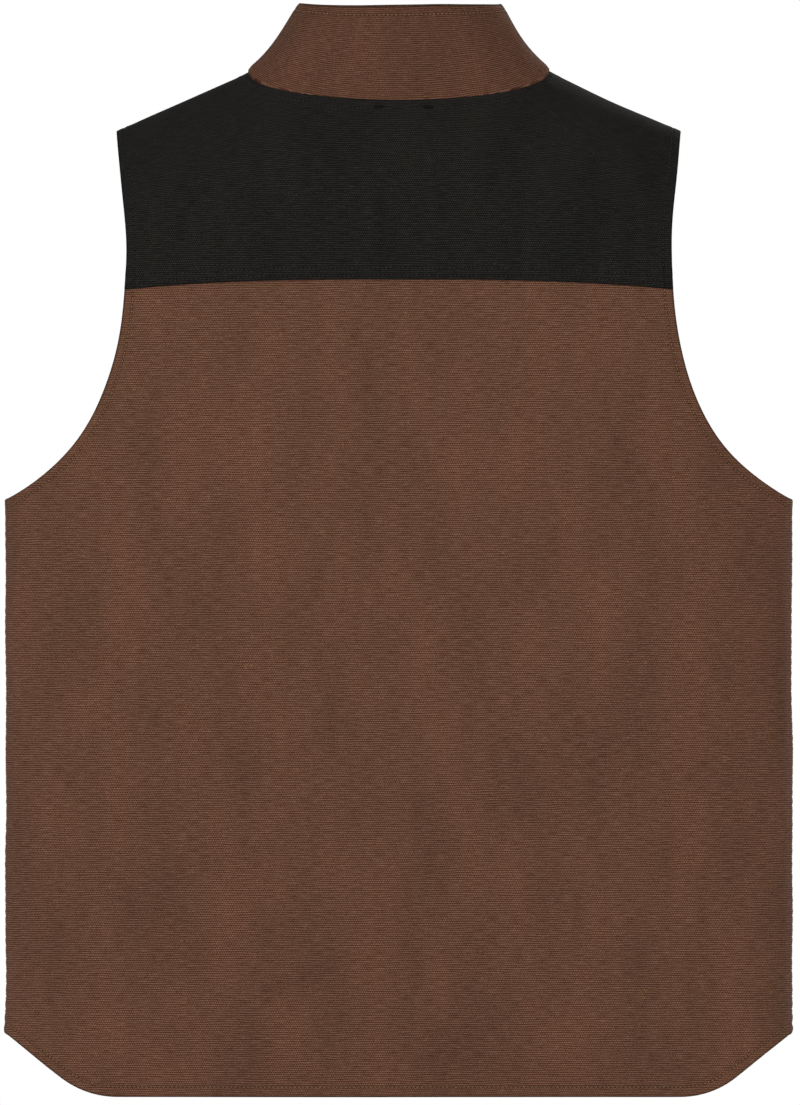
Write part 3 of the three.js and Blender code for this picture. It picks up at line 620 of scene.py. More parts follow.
# %% Relief by seams
def nearest(points, path, chunk=6000):
    """Distance from each point to a path, and how far along the path the nearest place is."""
    flat = points.reshape(-1, 3)
    lengths = length_along(path)
    distance, along = np.empty(len(flat)), np.empty(len(flat))
    squares = (path**2).sum(1)
    for start in range(0, len(flat), chunk):
        part = flat[start : start + chunk]
        gap = (part**2).sum(1)[:, None] + squares - 2 * part @ path.T
        index = gap.argmin(1)
        distance[start : start + chunk] = np.linalg.norm(part - path[index], axis=1)
        along[start : start + chunk] = lengths[index]
    return distance.reshape(points.shape[:-1]), along.reshape(points.shape[:-1])


groove_depth = 0.0004
groove_width = 0.0011
pucker_height = 0.00022
pucker_length = 0.0085
seam_fade = 0.008


def bell(value, width):
    """A bell curve: 1 at 0, and exp(-(value / width)^2) away from it."""
    return np.exp(-((value / width) ** 2))


def pucker_beat(along):
    """The cloth's rise and fall between stitches: a sine along the seam with an uneven beat."""
    return np.sin(2 * np.pi * along / pucker_length + 2 * np.sin(along * 61))


def relief(points, seams):
    """Lift of the cloth's outer face near its seams, and the distance to the nearest stitches.
    Each seam is (edge pairs, stitch distances, lift of the allowance, width of the allowance)."""
    lift, distance = np.zeros(points.shape[:-1]), np.full(points.shape[:-1], 1.0)
    for edge, stitch_rows, height, width in seams:
        path = surface(resample(edge, np.linspace(0, 1, 700)))
        away, along = nearest(points, path)
        lift += height * (1 - smooth_step((away - width) / seam_fade))
        for row in stitch_rows:
            off = away - row
            lift -= groove_depth * bell(off, groove_width)
            lift += pucker_height * pucker_beat(along) * bell(off, 0.0055)
            distance = np.minimum(distance, np.abs(off))
        distance = np.minimum(distance, away)
    return lift, distance


canvas_thickness = 0.0014


def sew(name, pairs, material, seams, thickness=canvas_thickness):
    """A pattern piece: its outer face with the relief of its seams, and its inner face behind."""
    lift, distance = relief(surface(pairs), seams)
    made = cloth_sheet(name, pairs, lift, lift - thickness, material, distance)
    print(f"{name}: {len(made.data.polygons)} faces")
    return made


# %% [markdown]
# ## Stitches
# Heavy vests are topstitched with thick thread, about three stitches to the centimetre. Each one
# is modelled as a short bead with tapered ends that dip into the cloth. A row is one mesh, and a
# bead has only twenty triangles because there are thousands of them.

# %% Stitches
stitch_pitch = 0.0031
stitch_length = 0.0026
stitch_width = 0.00062
stitch_height = 0.00036
bead_sides = 5
bead_angle = 2 * np.pi * np.arange(bead_sides) / bead_sides
bead_ring = np.stack([np.zeros(bead_sides), np.cos(bead_angle), np.sin(bead_angle)], 1)
bead = np.concatenate(
    [
        [[-0.5, 0, -0.6]],
        bead_ring + [-0.27, 0, 0.2],
        bead_ring + [0.27, 0, 0.2],
        [[0.5, 0, -0.6]],
    ]
)
ring_index = np.arange(bead_sides)
ring_next = (ring_index + 1) % bead_sides
last_bead = 2 * bead_sides + 1
bead_ends = np.concatenate(
    [
        np.stack([np.zeros(bead_sides, int), 1 + ring_next, 1 + ring_index], 1),
        np.stack(
            [np.full(bead_sides, last_bead), bead_sides + 1 + ring_index, bead_sides + 1 + ring_next],
            1,
        ),
    ]
)
bead_walls = np.stack(
    [1 + ring_index, 1 + ring_next, bead_sides + 1 + ring_next, bead_sides + 1 + ring_index], 1
)


def beads(name, centres, along, up, material, length=stitch_length, width=stitch_width):
    """One bead at each centre, lying along one direction with its back to another."""
    along = unit(along)
    sideways = unit(np.cross(up, along))
    up = np.cross(along, sideways)
    shape = (
        bead[:, 0][None, :, None] * along[:, None] * length
        + bead[:, 1][None, :, None] * sideways[:, None] * width / 2
        + bead[:, 2][None, :, None] * up[:, None] * stitch_height
    )
    points = (centres[:, None] + shape).reshape(-1, 3)
    shift = (np.arange(len(centres)) * len(bead))[:, None, None]
    ends = (bead_ends + shift).reshape(-1, 3)
    walls = (bead_walls + shift).reshape(-1, 4)
    return make_object(name, points, [walls, ends], material)


def moved_aside(edge, distance):
    """The edge moved sideways over the body by a distance, to the left of its direction."""
    points = surface(edge)
    tangent = unit(np.gradient(points, axis=0))
    aside = np.cross(outward(edge), tangent) * distance
    along_g, along_t = slopes(surface, edge)
    gg, tt = (along_g**2).sum(-1), (along_t**2).sum(-1)
    gt = (along_g * along_t).sum(-1)
    ag, at = (aside * along_g).sum(-1), (aside * along_t).sum(-1)
    area = np.maximum(gg * tt - gt**2, 1e-12)
    step = np.stack([(ag * tt - at * gt) / area, (at * gg - ag * gt) / area], -1)
    return edge + step


def at_lengths(path, where):
    """Points of a path at lengths from its start."""
    lengths = length_along(path)
    return np.stack([np.interp(where, lengths, path[:, k]) for k in range(3)], -1)


def stitch_frames(path, ends=0.004):
    """Evenly spaced places along a path of points, with the direction of the path at each, and
    each place's share of the whole length."""
    length = length_along(path)[-1]
    count = max(1, int((length - 2 * ends) / stitch_pitch))
    where = ends + stitch_pitch * (np.arange(count) + 0.5)
    places, ahead = at_lengths(path, where), at_lengths(path, where + 0.001)
    return places, unit(ahead - places), where / length


def stitches_on(pairs, at):
    """Places, directions and normals of a row of stitches along pairs on a surface."""
    places, along, share = stitch_frames(at(pairs))
    return places, along, outward(resample(pairs, share, at), at)


def topstitch(name, rows, material):
    """One mesh of stitches from several rows."""
    centres, along, up = (np.concatenate(parts) for parts in zip(*rows))
    print(f"{name}: {len(centres)} stitches")
    return beads(name, centres, along, up, material)


print(f"a bead has {len(bead_ends) + 2 * len(bead_walls)} triangles")

# %% [markdown]
# ## Cloth materials
# Cotton duck is a tight plain weave with thick weft yarns, so it shows fine level ribs. The yarns
# are not one colour: lighter and darker fibres run along them in short streaks. Both are worked
# out from the cloth's own map, in metres, so that the ribs follow each pattern piece. The weave
# and the wear, with the painted shade in stitch grooves and along edges, are node groups, because
# canvas, lining and webbing all use them with other values.


# %% Colours and groups
def colour(red, green, blue):
    """A colour given in ordinary 0 to 255 values, as the linear values that Blender uses."""
    share = np.array([red, green, blue]) / 255
    linear = np.where(share <= 0.04045, share / 12.92, ((share + 0.055) / 1.055) ** 2.4)
    return (*linear.tolist(), 1.0)


def new_group(name, inputs, outputs):
    """An empty shader node group, with its input and output nodes."""
    tree = bpy.data.node_groups.new(name, "ShaderNodeTree")
    for label, value in inputs.items():
        socket = tree.interface.new_socket(label, in_out="INPUT", socket_type="NodeSocketFloat")
        socket.default_value = value
    for label in outputs:
        tree.interface.new_socket(label, in_out="OUTPUT", socket_type="NodeSocketFloat")
    return tree, add_node(tree, "NodeGroupInput").outputs, add_node(tree, "NodeGroupOutput")


def noise(tree, vector, stretch, detail=2.0):
    """Noise whose features are about 1 / stretch metres across, along each axis of a vector."""
    mapped = add_node(tree, "ShaderNodeMapping", {"Vector": vector, "Scale": stretch})
    made = add_node(
        tree, "ShaderNodeTexNoise", {"Vector": mapped.outputs[0], "Scale": 1.0, "Detail": detail}
    )
    return made.outputs["Fac"]


def weave_group():
    """Ribs as a sine sharpened at its valleys, yarns as a finer sine across them, both bent a
    little by noise, with streaks along the yarns, soft clouds and sparse flecks of lighter fibre."""
    tree, given, result = new_group(
        "duck weave", {"Rib": 0.0016, "Yarn": 0.0013}, ["Height", "Tone", "Cloud", "Fleck"]
    )
    uv = add_node(tree, "ShaderNodeUVMap", uv_map="cloth").outputs[0]
    parts = add_node(tree, "ShaderNodeSeparateXYZ", {0: uv}).outputs
    bend = noise(tree, uv, (40, 90, 1), 1.0)
    cloud = noise(tree, uv, (26, 9, 1), 3.0)
    turns = calculate(tree, "DIVIDE", parts["Y"], given["Rib"])
    turns = calculate(tree, "MULTIPLY_ADD", bend, 1.1, turns)
    wave = calculate(tree, "SINE", calculate(tree, "MULTIPLY", turns, 2 * np.pi))
    rib = calculate(tree, "POWER", calculate(tree, "MULTIPLY_ADD", wave, 0.5, 0.5), 0.55)
    beats = calculate(tree, "DIVIDE", parts["X"], given["Yarn"])
    beats = calculate(tree, "MULTIPLY_ADD", calculate(tree, "FLOOR", turns), 0.5, beats)
    yarn = calculate(tree, "SINE", calculate(tree, "MULTIPLY", beats, 2 * np.pi))
    checked = calculate(tree, "MULTIPLY", yarn, calculate(tree, "MULTIPLY", cloud, 0.4))
    streak = calculate(tree, "SUBTRACT", noise(tree, uv, (110, 1000, 1), 2.0), 0.5)
    fibre = calculate(tree, "SUBTRACT", noise(tree, uv, (750, 2300, 1), 1.0), 0.5)
    height = calculate(tree, "MULTIPLY_ADD", streak, 0.5, calculate(tree, "ADD", rib, checked))
    tone = calculate(tree, "MULTIPLY_ADD", rib, 0.42, calculate(tree, "ADD", checked, 0.19))
    tone = calculate(tree, "MULTIPLY_ADD", streak, 0.55, tone)
    tone = calculate(tree, "MULTIPLY_ADD", fibre, 0.75, tone)
    clumps = noise(tree, uv, (60, 75, 1), 2.0)
    specks = calculate(tree, "MULTIPLY", noise(tree, uv, (480, 700, 1), 1.0), clumps)
    fleck = calculate(tree, "MULTIPLY_ADD", specks, 14.0, -5.7)
    fleck = calculate(tree, "MINIMUM", calculate(tree, "MAXIMUM", fleck, 0.0), 1.0)
    for label, value in (("Height", height), ("Tone", tone), ("Cloud", cloud), ("Fleck", fleck)):
        tree.links.new(value, result.inputs[label])
    return tree


def wear_and_shade_group():
    """Rubbed places: 1 on a seam's edge, fading over a width, and broken up by the weave. Shade is
    painted shade: 1 in a stitch groove and on a cut edge, and it fades over the groove's own width."""
    tree, given, result = new_group(
        "seam wear", {"Width": 0.004, "Break": 0.5, "Groove": 0.0014}, ["Worn", "Shade"]
    )
    away = add_node(tree, "ShaderNodeAttribute", attribute_name="seam").outputs["Fac"]
    uv = add_node(tree, "ShaderNodeUVMap", uv_map="cloth").outputs[0]
    near = calculate(tree, "SUBTRACT", 1.0, calculate(tree, "DIVIDE", away, given["Width"]))
    near = calculate(tree, "MAXIMUM", near, 0.0)
    patchy = noise(tree, uv, (180, 420, 1), 2.0)
    kept = calculate(tree, "SUBTRACT", patchy, calculate(tree, "MULTIPLY", given["Break"], 0.5))
    kept = calculate(tree, "MAXIMUM", calculate(tree, "MULTIPLY", kept, 2.4), 0.0)
    worn = calculate(tree, "MINIMUM", calculate(tree, "MULTIPLY", near, kept), 1.0)
    shade = calculate(tree, "SUBTRACT", 1.0, calculate(tree, "DIVIDE", away, given["Groove"]))
    shade = calculate(tree, "MAXIMUM", shade, 0.0)
    tree.links.new(worn, result.inputs["Worn"])
    tree.links.new(shade, result.inputs["Shade"])
    return tree


duck_weave = weave_group()
# The seam wear group gives both the rubbed wear and the painted shade of stitch grooves and cut
# edges.
seam_wear_and_shade = wear_and_shade_group()


def place_group(tree, group, values):
    """A group placed in a material, with its own values."""
    made = add_node(tree, "ShaderNodeGroup", node_tree=group)
    for key, value in values.items():
        made.inputs[key].default_value = value
    return made.outputs


def mix_colour(tree, share, first, second, blend="MIX"):
    """Two colours mixed by a share."""
    made = add_node(tree, "ShaderNodeMix", data_type="RGBA", blend_type=blend)
    for index, value in ((0, share), (6, first), (7, second)):
        if isinstance(value, bpy.types.NodeSocket):
            tree.links.new(value, made.inputs[index])
        else:
            made.inputs[index].default_value = value
    return made.outputs[2]


def ramp(tree, value, stops):
    """A colour ramp from (place, colour) stops."""
    made = add_node(tree, "ShaderNodeValToRGB", {"Fac": value})
    elements = made.color_ramp.elements
    for place, tint in stops[1:-1]:
        elements.new(place).color = tint
    elements[0].position, elements[0].color = stops[0]
    elements[-1].position, elements[-1].color = stops[-1]
    return made.outputs["Color"]


def start_material(name, **constants):
    """A material with one Principled shader, and constants on the shader's own sockets."""
    made = bpy.data.materials.new(name)
    made.use_nodes = True
    tree = made.node_tree
    shader = tree.nodes["Principled BSDF"]
    for key, value in constants.items():
        shader.inputs[key.replace("_", " ")].default_value = value
    made.diffuse_color = (0.5, 0.5, 0.5, 1)
    return made, tree, shader


def bump(tree, shader, height, distance, strength=1.0):
    """A Bump node from a height to the shader's normal."""
    made = add_node(
        tree, "ShaderNodeBump", {"Height": height, "Distance": distance, "Strength": strength}
    )
    tree.links.new(made.outputs[0], shader.inputs["Normal"])


cloud_casts = [
    (0.3, (0.74, 0.76, 0.73, 1)),
    (0.5, (0.83, 0.82, 0.79, 1)),
    (0.7, (0.94, 0.88, 0.83, 1)),
]


def duck(name, tones, worn, fleck, rib=0.0016, yarn=0.0013, depth=0.00035, sheen=0.0):
    """Ribbed canvas: streaks of three tones, clouds of a redder and an olive cast, flecks, rubbed
    seams, painted shade in the stitch grooves and along the cut edges, and woven bumps."""
    made, tree, shader = start_material(
        name, Sheen_Weight=sheen, Sheen_Roughness=0.5, Specular_IOR_Level=0.12
    )
    weave = place_group(tree, duck_weave, {"Rib": rib, "Yarn": yarn})
    wear_and_shade = place_group(tree, seam_wear_and_shade, {"Width": 0.0035, "Break": 0.6, "Groove": 0.0014})
    dark, middle, light = tones
    base = ramp(tree, weave["Tone"], [(0.1, dark), (0.5, middle), (0.9, light)])
    base = mix_colour(tree, calculate(tree, "MULTIPLY", weave["Fleck"], 0.5), base, fleck)
    cast = ramp(tree, weave["Cloud"], cloud_casts)
    base = mix_colour(tree, 1.0, base, cast, "MULTIPLY")
    base = mix_colour(tree, calculate(tree, "MULTIPLY", wear_and_shade["Worn"], 0.3), base, worn)
    # Painted shade: the stitch grooves and cut edges are darkened by up to 55 percent.
    shade = calculate(tree, "SUBTRACT", 1.0, calculate(tree, "MULTIPLY", wear_and_shade["Shade"], 0.55))
    grey = add_node(tree, "ShaderNodeCombineColor", {0: shade, 1: shade, 2: shade}).outputs[0]
    base = mix_colour(tree, 1.0, base, grey, "MULTIPLY")
    tree.links.new(base, shader.inputs["Base Color"])
    rough = calculate(tree, "MULTIPLY_ADD", weave["Tone"], 0.1, 0.86)
    tree.links.new(rough, shader.inputs["Roughness"])
    bump(tree, shader, weave["Height"], depth)
    return made


brown = duck(
    "brown_duck",
    (colour(62, 28, 10), colour(113, 76, 57), colour(164, 126, 108)),
    colour(118, 80, 56),
    colour(160, 116, 80),
)
black = duck(
    "black_duck",
    (colour(4, 3, 2), colour(26, 25, 23), colour(68, 66, 63)),
    colour(50, 48, 45),
    colour(66, 63, 58),
)
# The collar's canvas is the brown duck painted about a tenth darker: painted shade for the collar,
# which leans back and gets less light than the back panel.
collar_painted_shade_brown = duck(
    "collar_duck_painted_shade",
    (colour(54, 23, 8), colour(104, 68, 50), colour(152, 115, 97)),
    colour(110, 74, 50),
    colour(150, 108, 74),
)
# The collar's darker canvas is painted shade.
print("canvas in two colours, and the collar's own darker batch")

# %% Lining, webbing, label and thread
quilting = duck(
    "quilted_lining",
    (colour(26, 26, 27), colour(37, 37, 38), colour(52, 52, 53)),
    colour(60, 60, 60),
    colour(52, 52, 53),
    rib=0.0006,
    yarn=0.0006,
    depth=0.00008,
    sheen=0.3,
)
webbing = duck(
    "webbing",
    (colour(14, 14, 14), colour(24, 24, 24), colour(46, 46, 45)),
    colour(52, 52, 50),
    colour(46, 46, 45),
    rib=0.0011,
    yarn=0.0022,
    depth=0.0003,
)
label_cloth = duck(
    "label_cloth",
    (colour(44, 42, 39), colour(58, 55, 52), colour(74, 71, 66)),
    colour(90, 86, 80),
    colour(74, 71, 66),
    rib=0.0005,
    yarn=0.0005,
    depth=0.00005,
    sheen=0.2,
)


def thread(name, dark, light):
    """Twisted thread: two tones in fine slanting bands over the bead."""
    made, tree, shader = start_material(name, Specular_IOR_Level=0.15, Roughness=0.62)
    place = add_node(tree, "ShaderNodeTexCoord").outputs["Object"]
    strands = noise(tree, place, (1500, 1500, 2600), 1.0)
    tone = ramp(tree, strands, [(0.3, dark), (0.7, light)])
    tree.links.new(tone, shader.inputs["Base Color"])
    bump(tree, shader, strands, 0.0001)
    return made


tan_thread = thread("tan_thread", colour(112, 80, 57), colour(166, 128, 95))
grey_thread = thread("grey_thread", colour(26, 25, 24), colour(62, 60, 57))
black_thread = thread("black_thread", colour(10, 10, 10), colour(26, 25, 24))
tack_thread = thread("tack_thread", colour(2, 2, 2), colour(12, 12, 12))
print("lining, webbing, label and four threads")

# %% [markdown]
# ## Brass
# Zip and snap brass is cast or stamped, tumbled and then darkened. It stays brown in the hollows
# and rubs bright on the edges. Where the surface bends sharply outwards is read from the mesh's
# own pointiness, which needs no picture and no painting.


# %% Brass
def brass_material():
    """Darkened brass: bright where it is rubbed, brown and rougher where it is not."""
    made, tree, shader = start_material("antique_brass", Metallic=1.0)
    place = add_node(tree, "ShaderNodeTexCoord").outputs["Object"]
    stain = noise(tree, place, (420, 420, 420), 4.0)
    pits = noise(tree, place, (2400, 2400, 2400), 2.0)
    sharp = add_node(tree, "ShaderNodeNewGeometry").outputs["Pointiness"]
    rubbed = calculate(tree, "MULTIPLY_ADD", sharp, 6.0, -2.85)
    amount = calculate(tree, "MULTIPLY_ADD", stain, 0.9, rubbed)
    tone = ramp(
        tree,
        amount,
        [(0.25, colour(92, 68, 42)), (0.6, colour(140, 108, 68)), (1.0, colour(206, 172, 118))],
    )
    tree.links.new(tone, shader.inputs["Base Color"])
    rough = calculate(tree, "MULTIPLY_ADD", amount, -0.22, 0.50)
    tree.links.new(calculate(tree, "MAXIMUM", rough, 0.2), shader.inputs["Roughness"])
    bump(tree, shader, pits, 0.00004)
    return made


brass = brass_material()
print("brass")

# %% [markdown]
# ## The front pieces
# At rest the vest is zipped. The pieces of each front, canvas, facing, lining, collar and
# stitches, have their placement baked into their own meshes.

# %% Baking the front pieces
hands = {"left": -1, "right": 1}


def fold(piece):
    """Bakes the piece's placement into its mesh, and returns it."""
    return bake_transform(piece)


def stand_for(piece, slot_name, *nodes):
    """The piece hides CAD nodes; the slot name is not used."""
    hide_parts(*nodes)


def settle(piece, body, slot_name, *nodes):
    """The piece rides on a body and stands for CAD nodes."""
    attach(piece, body)
    stand_for(piece, slot_name, *nodes)


def grid_area(points):
    """Area of a grid of points: the sum of the cross products of its cells' sides."""
    cells = np.cross(np.diff(points, axis=1)[:-1], np.diff(points, axis=0)[:, :-1])
    return float(np.linalg.norm(cells, axis=-1).sum())


least_fill = 0.35


def declare_cloth(pairs):
    """Prints the flat size of a piece from its own map, and its area. A curved
    strip that fills too little of its box is given as a straight one of the same area."""
    flat = cloth_map(pairs)
    size = flat.reshape(-1, 2).max(0) - flat.reshape(-1, 2).min(0)
    area = min(grid_area(surface(pairs)), float(size[0] * size[1]))
    if area < least_fill * size[0] * size[1]:
        length = float(np.hypot(*size))
        size = np.array([area / length, length])
    print(f"  flat {size[0]:.3f} x {size[1]:.3f} m, {area:.3f} square metres")


# %% [markdown]
# ## The back panel
# The largest piece runs from under the yoke to the drop-tail hem. Its top edge is tucked under
# the yoke's fold, and its sides lap over the fronts with a felled seam: two rows of stitches
# through folded edges. The patch has its finest columns at the armholes, where the relief is.

# %% Back panel
top_tuck = 0.008
lap = 0.0012
under_yoke = yoke_line(arm_half_width) + top_tuck
hem_end = back_hem(half_width)
hem_rows = (0.0068,)
arm_rows = (0.006,)
side_rows = (0.0022, 0.0085)
yoke_rows = (0.003, 0.0085)
hem_fold = (0.0004, 0.006)
arm_fold = (0.0004, 0.005)
side_fold = (0.0009, 0.0095)
lap_fold = (lap, 0.010)


def both_sides(right_half):
    """A line from the left edge to the right one, given its right half from the centre out."""
    return np.concatenate([mirrored(right_half[::-1]), right_half[1:]])


back_right = arm_edge(BACK, hem_end, under_yoke, count=400)
back_arm_x = arm_half(under_yoke, BACK)
back_top = across(BACK, -back_arm_x, back_arm_x, lambda x: yoke_line(x) + top_tuck)
back_bottom = across(BACK, -half_width, half_width, back_hem, 400)
back_arm = arm_edge(BACK, under_yoke, -arm_depth)
back_side = arm_edge(BACK, -arm_depth, hem_end)
back_pairs = patch(back_bottom, back_top, mirrored(back_right), back_right, 210, 220)
back_seams = [
    (back_bottom, hem_rows, *hem_fold),
    (back_arm, arm_rows, *arm_fold),
    (mirrored(back_arm), arm_rows, *arm_fold),
    (back_side, side_rows, *side_fold),
    (mirrored(back_side), side_rows, *side_fold),
]
back_cloth = sew("back_cloth", back_pairs, brown, back_seams)
settle(back_cloth, "root", "brown_duck", "back_panel")
declare_cloth(back_pairs)

# %% [markdown]
# ## The yoke
# The black yoke is one piece that covers the upper back and wraps over both shoulders to a seam
# on the front. Its lower edge is folded under and laps over the back panel, so it stands a little
# proud and has two rows of stitches, as the shoulder seams have.

# %% Yoke
shoulder_front = arm_half(forward_seam(shoulder_half_width), FRONT)
yoke_arm = np.concatenate(
    [
        arm_edge(BACK, yoke_line(arm_half_width), -shoulder_drop, count=120),
        arm_edge(FRONT, -shoulder_drop - 0.0005, forward_seam(shoulder_front), count=30),
    ]
)
forward_x = neck_half_width * np.sin(forward_angle)
shoulder_seam = across(FRONT, forward_x, shoulder_front, forward_seam, 60)
neck_half = neck_edge(0, forward_angle, 120)
yoke_top = both_sides(np.concatenate([neck_half, shoulder_seam[1:]]))
yoke_bottom = across(BACK, -arm_half_width, arm_half_width, yoke_line)
yoke_pairs = patch(yoke_bottom, yoke_top, mirrored(yoke_arm), yoke_arm, 210, 96)
shoulder_rows = (0.0028, 0.0082)
neck_rows = (0.0065,)
neck_fold = (0.0005, 0.005)
yoke_thickness = 0.0011
neck_line = both_sides(neck_half)
yoke_seams = [
    (yoke_bottom, yoke_rows, *lap_fold),
    (shoulder_seam, shoulder_rows, *lap_fold),
    (mirrored(shoulder_seam), shoulder_rows, *lap_fold),
    (yoke_arm, arm_rows, *arm_fold),
    (mirrored(yoke_arm), arm_rows, *arm_fold),
    (neck_line, neck_rows, *neck_fold),
]
yoke_cloth = sew("yoke_cloth", yoke_pairs, black, yoke_seams, yoke_thickness)
settle(yoke_cloth, "root", "black_duck", "yoke")
declare_cloth(yoke_pairs)

# %% [markdown]
# ## The fronts
# Each front is a black yoke over a brown panel, cut from the zip to the armhole. The real cloth
# is one piece across the fold, so one piece stands for the frame's fixed part and moving part.

# %% Fronts
front_hem_end = front_hem(half_width)
front_under = yoke_line(arm_half_width) + top_tuck
front_side_edge = arm_edge(FRONT, front_hem_end, front_under, count=400)
front_arm_x = arm_half(front_under, FRONT)
front_top = across(FRONT, zip_edge, front_arm_x, lambda x: yoke_line(x) + top_tuck)
front_bottom = across(FRONT, zip_edge, half_width, front_hem, 240)


def zip_side(z_from, z_to):
    """The edge beside the zip, between two heights."""
    z = np.linspace(z_from, z_to, 80)
    return pairs_at(np.full(80, zip_edge), z, FRONT)


zip_neck_height = -front_neck_drop * np.sqrt(1 - (zip_edge / neck_half_width) ** 2)
panel_zip = zip_side(front_hem(zip_edge), yoke_line(zip_edge) + top_tuck)
yoke_zip = zip_side(yoke_line(zip_edge), zip_neck_height)
front_pairs = patch(front_bottom, front_top, panel_zip, front_side_edge, 130, 200)
front_arm = arm_edge(FRONT, yoke_line(arm_half_width), forward_seam(shoulder_front), count=120)
front_neck = neck_edge(zip_angle, forward_angle, 80)
front_yoke_top = np.concatenate([front_neck, shoulder_seam[1:]])
front_yoke_x = arm_half(yoke_line(arm_half_width), FRONT)
front_yoke_bottom = across(FRONT, zip_edge, front_yoke_x, yoke_line)
front_yoke_pairs = patch(front_yoke_bottom, front_yoke_top, yoke_zip, front_arm, 120, 70)
front_lower_arm = arm_edge(FRONT, front_under, -arm_depth)
zip_rows = (0.0035, 0.0095)
zip_fold = (0.0003, 0.010)
front_seams = [
    (front_bottom, hem_rows, *hem_fold),
    (front_lower_arm, arm_rows, *arm_fold),
    (panel_zip, zip_rows, *zip_fold),
]
front_yoke_seams = [
    (front_yoke_bottom, yoke_rows, *lap_fold),
    (front_arm, arm_rows, *arm_fold),
    (front_neck, neck_rows, *neck_fold),
    (yoke_zip, zip_rows, *zip_fold),
]


def handed(pairs, hand):
    """Pairs drawn for the right half, for either half."""
    return pairs if hand > 0 else mirrored(pairs)


def handed_seams(seams, hand):
    """Seams drawn for the right half, for either half."""
    return [(handed(edge, hand), *rest) for edge, *rest in seams]


for name, hand in hands.items():
    pairs = handed(front_pairs, hand)
    panel = sew(f"{name}_front_cloth", pairs, brown, handed_seams(front_seams, hand))
    stand_for(panel, "brown_duck", f"{name}_front_panel", f"{name}_front_edge_panel")
    declare_cloth(pairs)
    fold(panel)
    pairs = handed(front_yoke_pairs, hand)
    seams = handed_seams(front_yoke_seams, hand)
    upper = sew(f"{name}_front_yoke_cloth", pairs, black, seams, yoke_thickness)
    stand_for(upper, "black_duck", f"{name}_front_yoke", f"{name}_front_yoke_edge")
    declare_cloth(pairs)
    fold(upper)

# %% [markdown]
# ## The collar
# A stand collar is two layers of canvas, turned right side out and topstitched near its upper
# edge. It is taller at the back than at the front and leans in towards the neck. Its foot follows
# the neck seam. Its surface is ruled, with straight lines from the seam to the upper edge, and
# then bowed outwards at the back and hollowed at the sides, where the neck's curve pulls it in. The
# two layers are one thick piece with a round top, parted only where the fronts begin to fold.

# %% Collar
collar_top_height = high_corner("collar_back")[2] + 0.0012
collar_front_top = high_corner("zip_slider")[2] + 0.003
collar_top_half_width = 0.0745
collar_back_depth = -0.033
collar_thickness = 0.0046
collar_foot = -0.010
collar_foot_lift = 0.0011
collar_side_lift = 0.0035
collar_sag = 0.0028
collar_hollow = 0.0058
collar_shift = 0.0024
collar_row = 0.0065
collar_tuck = 0.055


def collar(pairs):
    """Points at (angle, rise): lines from the draped neck seam up to the collar's upper oval, moved
    out by a bow, sin(pi rise), and in by a hollow, 4 rise (1 - rise)^1.5, at the sides."""
    angle, rise = pairs[..., 0], pairs[..., 1][..., None]
    size = np.abs(angle)
    side = np.where(angle < 0, -1, 1)
    foot = cloth(neck_pairs(size) * np.stack([side, np.ones_like(size)], -1))
    foot[..., 2] += collar_foot_lift + collar_side_lift * np.sin(size) ** 2
    middle, radius = (half_depth + collar_back_depth) / 2, (half_depth - collar_back_depth) / 2
    forward = np.where(size > np.pi / 2, np.cos(size) ** 2, 0)
    top = np.stack(
        [
            side * collar_top_half_width * np.sin(size) + collar_shift * np.cos(size / 2) ** 2,
            middle - radius * np.cos(size),
            mix(collar_top_height - collar_sag * np.cos(size) ** 2, collar_front_top, forward)
            + 0.0006 * np.sin(3.1 * angle + 0.8) * np.cos(size / 2),
        ],
        -1,
    )
    wave = 0.0009 * np.sin(5.0 * angle + 1.3)[..., None] + 0.0006 * np.sin(11 * angle)[..., None]
    bow = np.sin(np.pi * np.clip(rise, 0, 1)) * (0.0012 + wave)
    hollow = 4 * np.clip(rise, 0, 1) * np.clip(1 - rise, 0, 1) ** 1.5
    bow = bow - collar_hollow * hollow * (np.sin(size) ** 6)[..., None]
    away = np.stack([side * np.sin(size), -np.cos(size), np.zeros_like(size)], -1)
    return mix(foot, top, rise) + away * bow


def collar_lifted(lift):
    """The collar's surface moved outwards."""
    return lambda pairs: collar(pairs) + outward(pairs, collar) * np.asarray(lift)[..., None]


def collar_piece(name, start, end, columns):
    """A part of the collar between two angles, which may change with the rise."""
    climb = crowded(56)
    rise = mix(collar_foot, 1, climb)
    share = np.linspace(0, 1, columns)
    angle = mix(start(rise)[:, None], end(rise)[:, None], share)
    lowest = collar_foot - collar_tuck * np.sin(angle) ** 2
    pairs = np.stack([angle, mix(lowest, 1, climb[:, None])], -1)
    height = collar_top_height + back_neck_drop
    from_top, from_foot = (1 - pairs[..., 1]) * height, pairs[..., 1] * height
    along = pairs[..., 0] * neck_half_width
    row = bell(from_top - collar_row, groove_width)
    beat = pucker_beat(along)
    pucker = pucker_height * beat * bell(from_top - collar_row, 0.005)
    foot_pucker = 0.7 * pucker_height * beat * bell(from_foot, 0.006)
    face = collar_lifted(-groove_depth * row + pucker + foot_pucker)(pairs)
    back_face = collar_lifted(np.full(row.shape, -collar_thickness) + 0.6 * pucker)(pairs)
    uv = np.stack([along, pairs[..., 1] * height], -1)
    distance = np.minimum(np.abs(from_top - collar_row), from_top)
    made = closed_sheet(name, face, back_face, uv, collar_painted_shade_brown, distance, 7)
    length = float(length_along(face[len(face) // 2])[-1])
    return made


def collar_end(rise):
    """The angle of the collar's front edge, a fixed distance from the centre at every rise."""
    width = mix(neck_half_width, collar_top_half_width, rise)
    return np.pi - np.arcsin(zip_edge / width)


parting = np.pi / 2 + 0.03


def parted(hand):
    """The angle where the collar's back piece ends, the same at every rise."""
    return lambda rise: np.full_like(rise, hand * parting)


